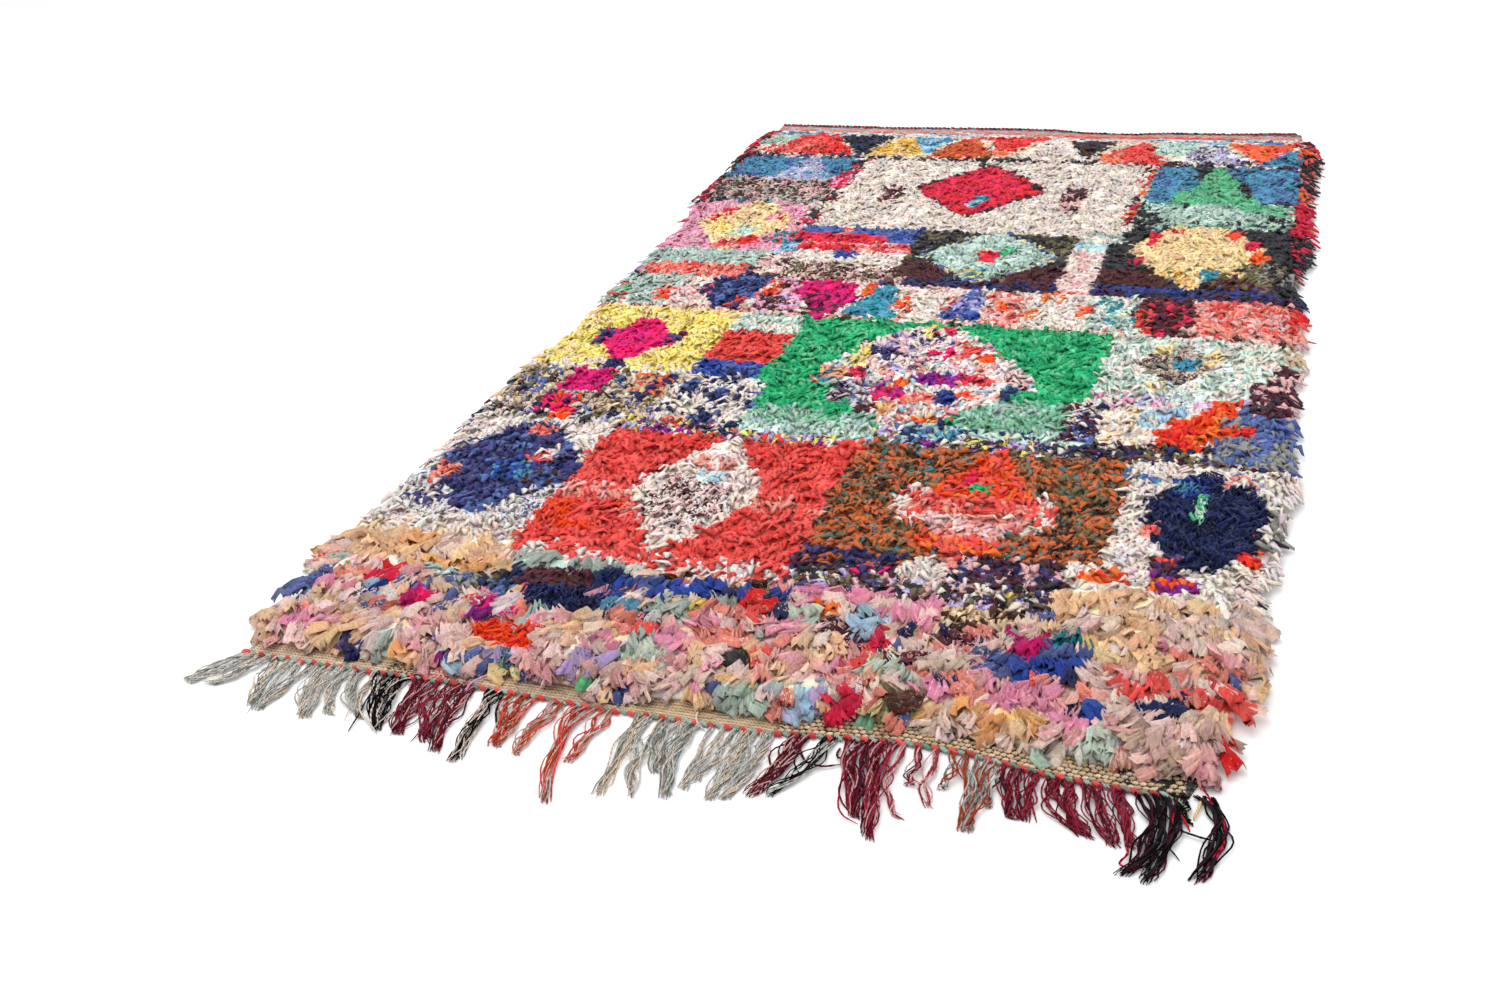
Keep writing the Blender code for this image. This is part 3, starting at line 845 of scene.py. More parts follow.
@dataclass
class Tubes:
    """Many closed tubes of one make: tufts, yarns, stitches or bumps.

    For n tubes of s rings with r points each, center and across are n, s, 3 arrays in chart
    centimetres, section is n, s, r, 3 and counts from center across it, up from it and along
    it, dye is n, s, 3, and fleck and share have a row for each tube.
    """
    center: np.ndarray
    across: np.ndarray
    section: np.ndarray
    dye: np.ndarray
    fleck: np.ndarray
    share: np.ndarray
    lowest: float = 0.04
    highest: float = 4.3
    cell_margin: float = 0.06
    cell_width: float = 0.70
    cell_height: float = 0.88
    cap_place: float = 0.87
    cap_radius: float = 0.07

    def points(self) -> np.ndarray:
        """Place every ring's points.

        Returns:
            A row of three for each point of each ring.
        """
        tangent = unit(np.gradient(self.center, axis=1))
        across = unit(self.across - (self.across * tangent).sum(-1, keepdims=True) * tangent)
        normal = np.cross(tangent, across)
        points = (self.center[:, :, None, :]
                  + self.section[..., 0:1] * across[:, :, None, :]
                  + self.section[..., 1:2] * normal[:, :, None, :]
                  + self.section[..., 2:3] * tangent[:, :, None, :])
        points[..., 2] = np.clip(points[..., 2], self.lowest, self.highest)
        return points

    def faces(self) -> tuple[np.ndarray, np.ndarray, np.ndarray, np.ndarray]:
        """Lay out one tube's faces.

        Returns:
            Corner numbers, face sizes, and the corners' places in the bake cell and along
            the tube.
        """
        rings, sides = self.section.shape[1:3]
        corners: list[int] = []
        sizes: list[int] = []
        cell: list[tuple[float, float]] = []
        strip: list[tuple[float, float]] = []
        for ring in range(rings - 1):
            for side in range(sides):
                after = (side + 1) % sides
                corners += [ring * sides + side, ring * sides + after,
                            (ring + 1) * sides + after, (ring + 1) * sides + side]
                sizes.append(4)
                for step, level in ((side, ring), (side + 1, ring),
                                    (side + 1, ring + 1), (side, ring + 1)):
                    share = (step / sides, level / (rings - 1))
                    cell.append((self.cell_margin + self.cell_width * share[0],
                                 self.cell_margin + self.cell_height * share[1]))
                    strip.append(share)
        for ring, order, middle in ((0, range(sides - 1, -1, -1), 0.25),
                                    (rings - 1, range(sides), 0.75)):
            sizes.append(sides)
            for side in order:
                turn = 2 * math.pi * side / sides
                corners.append(ring * sides + side)
                cell.append((self.cap_place + self.cap_radius * math.cos(turn),
                             middle + self.cap_radius * math.sin(turn)))
                strip.append((side / sides, ring / (rings - 1)))
        return np.array(corners), np.array(sizes), np.array(cell), np.array(strip)

    def build(self, name: str) -> bpy.types.Object:
        """Make the tubes one mesh object.

        Args:
            name: the piece's name.

        Returns:
            The object, with dye and fleck attributes and its two UV maps.
        """
        points = self.points()
        count, rings, sides = points.shape[:3]
        corners, sizes, cell, strip = self.faces()
        first = (np.arange(count) * rings * sides)[:, None]
        piece = raw_object(name, metres(points.reshape(-1, 3)), (first + corners).ravel(),
                           np.tile(sizes, count))
        lengths = np.linalg.norm(np.diff(self.center, axis=1), axis=-1).sum(1)
        grid = math.ceil(math.sqrt(count))
        numbers = np.arange(count)
        corner_of = np.stack((numbers % grid, numbers // grid), axis=1)[:, None, :]
        lay_uv(piece, "OFBake", (corner_of + cell) / grid)
        lay_uv(piece, "strip", strip * np.stack((np.ones(count), lengths), 1)[:, None, :])
        dye = np.repeat(self.dye.reshape(count * rings, 3), sides, axis=0)
        paint(piece, "dye", dye, np.ones(len(dye)))
        paint(piece, "fleck", np.repeat(self.fleck, rings * sides, axis=0),
              np.repeat(self.share, rings * sides))
        return piece

    def every(self, step: int, start: int) -> "Tubes":
        """Keep one lot of the tubes.

        Args:
            step: how many lots the tubes are dealt into.
            start: which lot to keep.

        Returns:
            The tubes of that lot.
        """
        parts = (part[start::step] for part in (self.center, self.across, self.section,
                                                self.dye, self.fleck, self.share))
        return Tubes(*parts, lowest=self.lowest, highest=self.highest)

    @property
    def triangles(self) -> int:
        """How many triangles the tubes have."""
        count, rings, sides = self.section.shape[:3]
        return count * ((rings - 1) * sides * 2 + 2 * (sides - 2))


class NodeBoard:
    """Places and joins shader nodes in one tree."""

    def __init__(self, tree: bpy.types.NodeTree) -> None:
        """Take the tree to work in, and empty it."""
        self.tree = tree
        tree.nodes.clear()

    def add(self, kind: str, **settings: object) -> bpy.types.Node:
        """Place a node and set its options.

        Args:
            kind: the node's type.
            settings: its options by name.

        Returns:
            The node.
        """
        node = self.tree.nodes.new(kind)
        for option, value in settings.items():
            setattr(node, option, value)
        return node

    def join(self, source: bpy.types.NodeSocket, target: bpy.types.NodeSocket) -> None:
        """Join an output to an input."""
        self.tree.links.new(source, target)

    def fill(self, socket: bpy.types.NodeSocket, value: object) -> None:
        """Join an input or set its value.

        Args:
            socket: the input.
            value: a socket, a number or a linear colour.
        """
        if isinstance(value, bpy.types.NodeSocket):
            self.join(value, socket)
        else:
            socket.default_value = value if isinstance(value, (int, float)) else (*value, 1.0)

    def math(self, operation: str, first: object, second: object = 0.5, third: object = 0.5,
             clamp: bool = False) -> bpy.types.NodeSocket:
        """Place a Math node.

        Args:
            operation: the Math node's operation.
            first: a socket or a number.
            second: a socket or a number.
            third: a socket or a number, for operations on three.
            clamp: keep the result from 0 to 1.

        Returns:
            The node's output.
        """
        node = self.add("ShaderNodeMath", operation=operation, use_clamp=clamp)
        for socket, value in zip(node.inputs, (first, second, third)):
            self.fill(socket, value)
        return node.outputs[0]

    def blend(self, factor: object, first: object, second: object,
              how: str = "MIX") -> bpy.types.NodeSocket:
        """Place a colour Mix node.

        Args:
            factor: a socket or a number.
            first: a socket or a linear colour.
            second: a socket or a linear colour.
            how: the blend type.

        Returns:
            The mixed colour.
        """
        node = self.add("ShaderNodeMix", data_type="RGBA", blend_type=how)
        for socket, value in ((node.inputs[0], factor), (node.inputs[6], first),
                              (node.inputs[7], second)):
            self.fill(socket, value)
        return node.outputs[2]

    def shaded(self, factor: float, colour: bpy.types.NodeSocket,
               level: bpy.types.NodeSocket) -> bpy.types.NodeSocket:
        """Darken a colour.

        Args:
            factor: how far, from 0 to 1.
            colour: the colour.
            level: the shade, from 0 for black.

        Returns:
            The darker colour.
        """
        grey = self.add("ShaderNodeCombineColor")
        for socket in grey.inputs[:3]:
            self.join(level, socket)
        return self.blend(factor, colour, grey.outputs[0], "MULTIPLY")

    def noise(self, vector: bpy.types.NodeSocket, scale: object, detail: float = 2.0,
              roughness: float = 0.55) -> bpy.types.NodeSocket:
        """Place a Noise node.

        Args:
            vector: where the noise is read.
            scale: a socket or a number.
            detail: how many finer layers it has.
            roughness: how strong they are.

        Returns:
            The noise's value.
        """
        node = self.add("ShaderNodeTexNoise")
        self.fill(node.inputs["Scale"], scale)
        node.inputs["Detail"].default_value = detail
        node.inputs["Roughness"].default_value = roughness
        self.join(vector, node.inputs["Vector"])
        return node.outputs["Fac"]


class Groups:
    """The shader node groups that several finishes share, each built once."""

    @staticmethod
    def start(name: str, inputs: tuple, outputs: tuple) -> tuple:
        """Open a new group.

        Args:
            name: the group's name.
            inputs: pairs of socket name and type letter.
            outputs: pairs of socket name and type letter.

        Returns:
            The tree, its board, and its input and output nodes.
        """
        kinds = {"F": "NodeSocketFloat", "C": "NodeSocketColor", "V": "NodeSocketVector"}
        tree = bpy.data.node_groups.new(name, "ShaderNodeTree")
        for socket, letter in inputs:
            tree.interface.new_socket(socket, in_out="INPUT", socket_type=kinds[letter])
        for socket, letter in outputs:
            tree.interface.new_socket(socket, in_out="OUTPUT", socket_type=kinds[letter])
        board = NodeBoard(tree)
        return tree, board, board.add("NodeGroupInput"), board.add("NodeGroupOutput")

    @classmethod
    def printed_dye(cls) -> bpy.types.NodeTree:
        """Two dyes in one cloth: a print in blots over a ground that has faded unevenly.

        Returns:
            The group.
        """
        tree, board, source, sink = cls.start(
            "printed_dye",
            (("Place", "V"), ("Dye", "C"), ("Fleck", "C"), ("Share", "F"), ("Blot scale", "F"),
             ("Fade", "F")),
            (("Color", "C"),))
        blots = board.noise(source.outputs["Place"], source.outputs["Blot scale"], 1.0, 0.5)
        edge = board.math("SUBTRACT", 0.72, board.math("MULTIPLY", source.outputs["Share"], 0.3))
        over = board.math("SUBTRACT", blots, edge)
        mask = board.math("MULTIPLY", over, 18.0, clamp=True)
        print_on = board.blend(mask, source.outputs["Dye"], source.outputs["Fleck"])
        worn = board.noise(source.outputs["Place"], 90.0, 3.0)
        lift = board.math("MULTIPLY", board.math("SUBTRACT", worn, 0.45),
                          source.outputs["Fade"], clamp=True)
        faded = board.blend(lift, print_on, (0.86, 0.82, 0.78))
        board.join(faded, sink.inputs["Color"])
        return tree

    @classmethod
    def cloth_threads(cls) -> bpy.types.NodeTree:
        """Fine threads and creases that run along a strip of cloth.

        Returns:
            The group.
        """
        tree, board, source, sink = cls.start(
            "cloth_threads",
            (("Strip", "V"), ("Place", "V"), ("Threads", "F"), ("Crease", "F")),
            (("Height", "F"), ("Shade", "F")))
        split = board.add("ShaderNodeSeparateXYZ")
        board.join(source.outputs["Strip"], split.inputs[0])
        warp = board.math("SINE", board.math("MULTIPLY", split.outputs[0],
                                             source.outputs["Threads"]))
        weft = board.math("SINE", board.math("MULTIPLY", split.outputs[1], 34.0))
        weave = board.math("MULTIPLY", warp, weft)
        stretch = board.add("ShaderNodeCombineXYZ")
        board.join(board.math("MULTIPLY", split.outputs[0], 4.5), stretch.inputs[0])
        board.join(board.math("MULTIPLY", split.outputs[1], 0.55), stretch.inputs[1])
        far = board.add("ShaderNodeVectorMath", operation="ADD")
        board.join(stretch.outputs[0], far.inputs[0])
        board.join(source.outputs["Place"], far.inputs[1])
        crease = board.noise(far.outputs[0], 2.6, 2.0)
        folds = board.math("MULTIPLY", crease, source.outputs["Crease"])
        height = board.math("ADD", folds, board.math("MULTIPLY", weave, 0.12))
        board.join(height, sink.inputs["Height"])
        line = board.math("ABSOLUTE", board.math("SUBTRACT", crease, 0.5))
        shade = board.math("MULTIPLY_ADD", board.math("MULTIPLY", line, 12.0, clamp=True), 0.55,
                           0.52)
        board.join(shade, sink.inputs["Shade"])
        return tree

    @classmethod
    def plied_twist(cls) -> bpy.types.NodeTree:
        """Slanting plies of a twisted yarn, read round and along it, with loose fibres.

        Returns:
            The group.
        """
        tree, board, source, sink = cls.start(
            "plied_twist",
            (("Strip", "V"), ("Plies", "F"), ("Turns", "F")),
            (("Height", "F"), ("Second ply", "F"), ("Groove shade", "F")))
        split = board.add("ShaderNodeSeparateXYZ")
        board.join(source.outputs["Strip"], split.inputs[0])
        around = board.math("MULTIPLY", split.outputs[0], source.outputs["Plies"])
        down = board.math("MULTIPLY", split.outputs[1], source.outputs["Turns"])
        turn = board.math("FRACT", board.math("ADD", around, down))
        bulge = board.math("SINE", board.math("MULTIPLY", turn, math.pi))
        fine = board.math("SINE", board.math("MULTIPLY", turn, 44.0))
        board.join(board.math("ADD", bulge, board.math("MULTIPLY", fine, 0.12)),
                   sink.inputs["Height"])
        half = board.math("MULTIPLY", board.math("ADD", around, down), 0.5)
        board.join(board.math("GREATER_THAN", board.math("FRACT", half), 0.5),
                   sink.inputs["Second ply"])
        # Painted shade: low in the grooves between the plies, where the colour is darkened.
        board.join(board.math("POWER", bulge, 0.45), sink.inputs["Groove shade"])
        return tree


@dataclass(frozen=True)
class Finish:
    """What every finish of the rug has: a dull fibrous cloth with a soft sheen."""
    name: str
    roughness: float = 0.85
    sheen: float = 0.25
    relief: float = 0.4
    gloss: float = 0.2
    depth: float = 0.0012
    glow: float = 0.0
    glow_tint: tuple = (1.0, 0.7, 0.6)
    glow_scale: float = 0.006

    def material(self) -> bpy.types.Material:
        """Build the finish's material, the first time that it is asked for.

        Returns:
            The material.
        """
        found = bpy.data.materials.get(self.name)
        if found:
            return found
        made = bpy.data.materials.new(self.name)
        made.use_nodes = True
        board = NodeBoard(made.node_tree)
        out = board.add("ShaderNodeOutputMaterial")
        cloth = board.add("ShaderNodeBsdfPrincipled")
        board.join(cloth.outputs[0], out.inputs[0])
        for name, value in (("Specular IOR Level", self.gloss), ("Sheen Weight", self.sheen),
                            ("Sheen Roughness", 0.5), ("Subsurface Weight", self.glow),
                            ("Subsurface Radius", self.glow_tint),
                            ("Subsurface Scale", self.glow_scale)):
            cloth.inputs[name].default_value = value
        colour, height, rough = self.surface(board)
        board.join(colour, cloth.inputs["Base Color"])
        board.join(rough, cloth.inputs["Roughness"])
        bump = board.add("ShaderNodeBump")
        bump.inputs["Strength"].default_value = self.relief
        bump.inputs["Distance"].default_value = self.depth
        board.join(height, bump.inputs["Height"])
        board.join(bump.outputs[0], cloth.inputs["Normal"])
        return made

    def surface(self, board: NodeBoard) -> tuple:
        """Lay the colour, height and roughness of the finish.

        Args:
            board: the material's nodes.

        Returns:
            The sockets that give them out.
        """
        raise NotImplementedError

    def group(self, board: NodeBoard, build: Callable[[], bpy.types.NodeTree],
              values: dict) -> bpy.types.Node:
        """Place a shared node group.

        Args:
            board: the material's nodes.
            build: the method of Groups that builds it, the first time.
            values: a socket or a number for each input's name.

        Returns:
            The group's node.
        """
        tree = bpy.data.node_groups.get(build.__name__) or build()
        node = board.add("ShaderNodeGroup", node_tree=tree)
        for socket, value in values.items():
            board.fill(node.inputs[socket], value)
        return node

    def stored(self, board: NodeBoard) -> tuple:
        """Fetch what the mesh stores at each point.

        Args:
            board: the material's nodes.

        Returns:
            The place's socket, and the nodes that read the dye and the fleck.
        """
        return (board.add("ShaderNodeTexCoord").outputs["Object"],
                board.add("ShaderNodeAttribute", attribute_name="dye"),
                board.add("ShaderNodeAttribute", attribute_name="fleck"))

    def rough(self, board: NodeBoard, height: bpy.types.NodeSocket) -> bpy.types.NodeSocket:
        """Vary the roughness a little with the height."""
        return board.math("ADD", board.math("MULTIPLY", height, 0.08), self.roughness - 0.04)

    def dress(self, piece: bpy.types.Object) -> None:
        """Give a piece this finish alone."""
        piece.data.materials.clear()
        piece.data.materials.append(self.material())


@dataclass(frozen=True)
class RagFinish(Finish):
    """Cut rags: each in its own dye, some printed, with threads and creases along it."""
    threads: float = 60.0
    crease: float = 1.0
    fade: float = 0.12
    shadow: float = 0.45
    blot_scale: float = 190.0

    def surface(self, board: NodeBoard) -> tuple:
        """Lay the rags' dyes, creases and roughness.

        Args:
            board: the material's nodes.

        Returns:
            The sockets of colour, height and roughness.
        """
        place, dye, fleck = self.stored(board)
        strip = board.add("ShaderNodeUVMap", uv_map="strip").outputs[0]
        printed = self.group(board, Groups.printed_dye, {
            "Place": place, "Dye": dye.outputs["Color"], "Fleck": fleck.outputs["Color"],
            "Share": fleck.outputs["Alpha"], "Blot scale": self.blot_scale,
            "Fade": self.fade})
        threads = self.group(board, Groups.cloth_threads, {
            "Strip": strip, "Place": place, "Threads": self.threads, "Crease": self.crease})
        colour = board.shaded(self.shadow, printed.outputs["Color"], threads.outputs["Shade"])
        return colour, threads.outputs["Height"], self.rough(board, threads.outputs["Height"])


@dataclass(frozen=True)
class WoolFinish(Finish):
    """Twisted wool yarn in one or two plies, with painted shade in the grooves between them."""
    plies: float = 2.0
    turns: float = 2.2
    # How strong the painted shade in the grooves is.
    groove: float = 0.55

    def surface(self, board: NodeBoard) -> tuple:
        """Lay the plies' colours and their relief.

        Args:
            board: the material's nodes.

        Returns:
            The sockets of colour, height and roughness.
        """
        place, dye, fleck = self.stored(board)
        strip = board.add("ShaderNodeUVMap", uv_map="strip").outputs[0]
        twist = self.group(board, Groups.plied_twist, {
            "Strip": strip, "Plies": self.plies, "Turns": self.turns})
        plied = board.math("MULTIPLY", twist.outputs["Second ply"], fleck.outputs["Alpha"])
        pair = board.blend(plied, dye.outputs["Color"], fleck.outputs["Color"])
        printed = self.group(board, Groups.printed_dye, {
            "Place": place, "Dye": pair, "Fleck": pair, "Share": 0.0, "Blot scale": 100.0,
            "Fade": 0.01})
        # Painted shade: the colour is darker in the grooves between the plies.
        colour = board.shaded(self.groove, printed.outputs["Color"], twist.outputs["Groove shade"])
        return colour, twist.outputs["Height"], self.rough(board, twist.outputs["Height"])


@dataclass(frozen=True)
class WeaveFinish(Finish):
    """Plain-woven cotton ground: weft ribs across, warp beneath, stained and flecked."""
    rib: float = 0.006
    fleck_scale: float = 260.0
    shadow: float = 0.9
    fade: float = 0.3

    def surface(self, board: NodeBoard) -> tuple:
        """Lay the ground's dye, weave and flecks.

        Args:
            board: the material's nodes.

        Returns:
            The sockets of colour, height and roughness.
        """
        place, dye, fleck = self.stored(board)
        split = board.add("ShaderNodeSeparateXYZ")
        board.join(place, split.inputs[0])
        across, down = (board.math("SINE", board.math("MULTIPLY", side, 2 * math.pi / self.rib))
                        for side in split.outputs[:2])
        weave = board.math("ADD", board.math("MULTIPLY", across, down), down)
        shade = board.math("MULTIPLY_ADD", weave, 0.26, 0.82)
        printed = self.group(board, Groups.printed_dye, {
            "Place": place, "Dye": dye.outputs["Color"], "Fleck": fleck.outputs["Color"],
            "Share": fleck.outputs["Alpha"], "Blot scale": self.fleck_scale,
            "Fade": self.fade})
        colour = board.shaded(self.shadow, printed.outputs["Color"], shade)
        return colour, weave, self.rough(board, weave)


RAG_FINISH = RagFinish("knotted_rags", roughness=0.9, sheen=0.05, relief=0.7, gloss=0.1,
                       depth=0.0015, glow=0.35)
GROUND_FINISH = WeaveFinish("woven_cotton", roughness=0.9, sheen=0.05, relief=0.5, gloss=0.1)
FRONT_CORD_FINISH = WoolFinish("twined_yarn", roughness=0.86, plies=2.0, turns=3.0)
BACK_CORD_FINISH = WoolFinish("twined_yarn_dark", roughness=0.88, plies=2.0, turns=2.6)
WARP_FINISHES = {
    slot: WoolFinish(f"plied_{slot}", roughness=0.92, sheen=0.0, gloss=0.08, plies=plies, turns=turns)
    for slot, plies, turns in (
        ("grey_wool", 2.0, 2.0), ("black_wool", 2.0, 1.8), ("burgundy_wool", 2.0, 2.2),
        ("black_white_wool", 2.0, 1.6), ("orange_wool", 2.0, 2.0),
        ("grey_orange_wool", 2.0, 1.9), ("crimson_wool", 2.0, 2.4))
}


@dataclass
class WovenGround:
    """The cotton ground cloth: bare ribbed bands at both ends, hidden under the pile between."""
    thickness: float = 0.3
    set_in: float = 2.5
    left_end: float = -69.4
    right_end: float = 66.5
    columns: int = 138
    band_rows: int = 22
    band_depth: float = 5.6
    middle_rows: int = 30
    back_rows: int = 20
    back_depth: float = 14.0
    rib_pitch: float = 0.5
    wave_pitch: float = 1.6
    underside: float = 0.02
    striped_from: float = 248.0
    stripe_width: float = 1.1

    def rows(self) -> np.ndarray:
        """Space the rows of the mesh.

        Returns:
            Places along the rug, in chart centimetres.
        """
        turn = RUG_LENGTH - self.back_depth
        front = np.linspace(0, self.band_depth, self.band_rows, endpoint=False)
        middle = np.linspace(self.band_depth, turn, self.middle_rows, endpoint=False)
        return np.concatenate((front, middle, np.linspace(turn, RUG_LENGTH, self.back_rows)))

    def grid(self) -> np.ndarray:
        """Place the cloth's top, row by row.

        Returns:
            Its points in chart centimetres.
        """
        y, share = np.meshgrid(self.rows(), np.linspace(0, 1, self.columns), indexing="ij")
        left = side_left(y) + self.set_in
        right = side_right(y) - self.set_in
        open_end = np.clip(1 - y / 6, 0, 1)
        left += (self.left_end - left) * open_end
        right += (self.right_end - right) * open_end
        x = left + (right - left) * share
        front = along(FRONT_EDGE, x) + 0.1
        back = along(BACK_EDGE, x) - RUG_LENGTH - 0.1
        y = y + front * (1 - y / RUG_LENGTH) + back * (y / RUG_LENGTH)
        rib = 0.05 * np.sin(y * 2 * math.pi / self.rib_pitch) + 0.04 * np.sin(x * 1.7 + y)
        wave = 0.06 * np.sin(y * 2 * math.pi / self.wave_pitch)
        z = self.thickness + np.where(y < 6, rib, wave)
        return np.stack((x, y, np.clip(z, 0.15, 0.5)), axis=-1)

    def colours(self, top: np.ndarray) -> tuple[np.ndarray, np.ndarray, np.ndarray]:
        """Dye the bare bands.

        Args:
            top: the cloth's points in chart centimetres, a row of three for each.

        Returns:
            First dye, second dye and the share of it, at each point.
        """
        rng = np.random.default_rng(21)
        x, y = top[:, 0], top[:, 1]
        dye = np.tile(linear("tan"), (len(top), 1))
        fleck = np.tile(linear("taupe"), (len(top), 1))
        share = np.full(len(top), 0.6)
        for left, right, ground, second, part in (
                (-46, -41, "tan", "charcoal", 0.7), (-41, -33, "cream", "brick", 0.8),
                (-28, -8, "taupe", "khaki", 0.8), (-8, 14, "khaki", "taupe", 0.6),
                (14, 58, "plum", "tan", 0.5), (58, 68, "charcoal", "tan", 0.4)):
            here = (x > left) & (x < right) & (y < 8)
            dye[here] = linear(ground)
            fleck[here] = linear(second)
            share[here] = part
        lines = (x > 18) & (x < 58) & (y < 8) & (np.abs((y / 0.78) % 1 - 0.5) > 0.36)
        dye[lines] = linear("plum")
        back = y > self.striped_from
        bands = linear("blush tan rose brick beige taupe sky plum")
        uneven = (y[back] / self.stripe_width + rng.uniform(-0.4, 0.4, int(back.sum()))
                  + 0.3 * np.sin(x[back] / 9))
        dye[back] = bands[np.floor(uneven).astype(int) % len(bands)]
        fleck[back] = linear("brick")
        dye *= np.clip(0.86 + 0.2 * rng.standard_normal((len(top), 1)), 0.4, 1.2)
        return dye, fleck, share

    def build(self) -> bpy.types.Object:
        """Make the cloth a closed thin sheet that replaces its solid.

        Returns:
            The cloth.
        """
        top = self.grid()
        rows, columns = top.shape[:2]
        under = top * (1, 1, 0) + (0, 0, self.underside)
        points = np.concatenate((top.reshape(-1, 3), under.reshape(-1, 3)))
        quads, rim = grid_faces(rows, columns)
        after = np.roll(rim, -1)
        low = rows * columns
        walls = np.stack((rim + low, after + low, after, rim), axis=-1)
        corners = np.concatenate((quads, quads[:, ::-1] + low, walls))
        piece = raw_object("ground_cloth", metres(points), corners.ravel(),
                           np.full(len(corners), 4))
        dye, fleck, share = self.colours(top.reshape(-1, 3))
        paint(piece, "dye", np.tile(dye, (2, 1)), np.ones(2 * low))
        paint(piece, "fleck", np.tile(fleck, (2, 1)), np.tile(share, 2))
        GROUND_FINISH.dress(piece)
        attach(piece, BODY)
        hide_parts("woven_ground")
        self.area = self.flat_area(top)
        return piece

    @staticmethod
    def flat_area(top: np.ndarray) -> float:
        """Measure the cloth's cut from its rows.

        Args:
            top: the cloth's top, row by row, in chart centimetres.

        Returns:
            The area in square metres.
        """
        width = np.linalg.norm(top[:, -1, :2] - top[:, 0, :2], axis=1)
        place = top[:, :, 1].mean(axis=1)
        return float(np.sum((width[1:] + width[:-1]) / 2 * np.diff(place))) * CM * CM

    def declare(self) -> None:
        """Measure the box of the cloth's solid and take the smaller of its area and the cut's;
        nothing keeps the result.
        """
        low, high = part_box("woven_ground")
        width, length = float(high[0] - low[0]), float(high[1] - low[1])
        min(self.area, width * length)


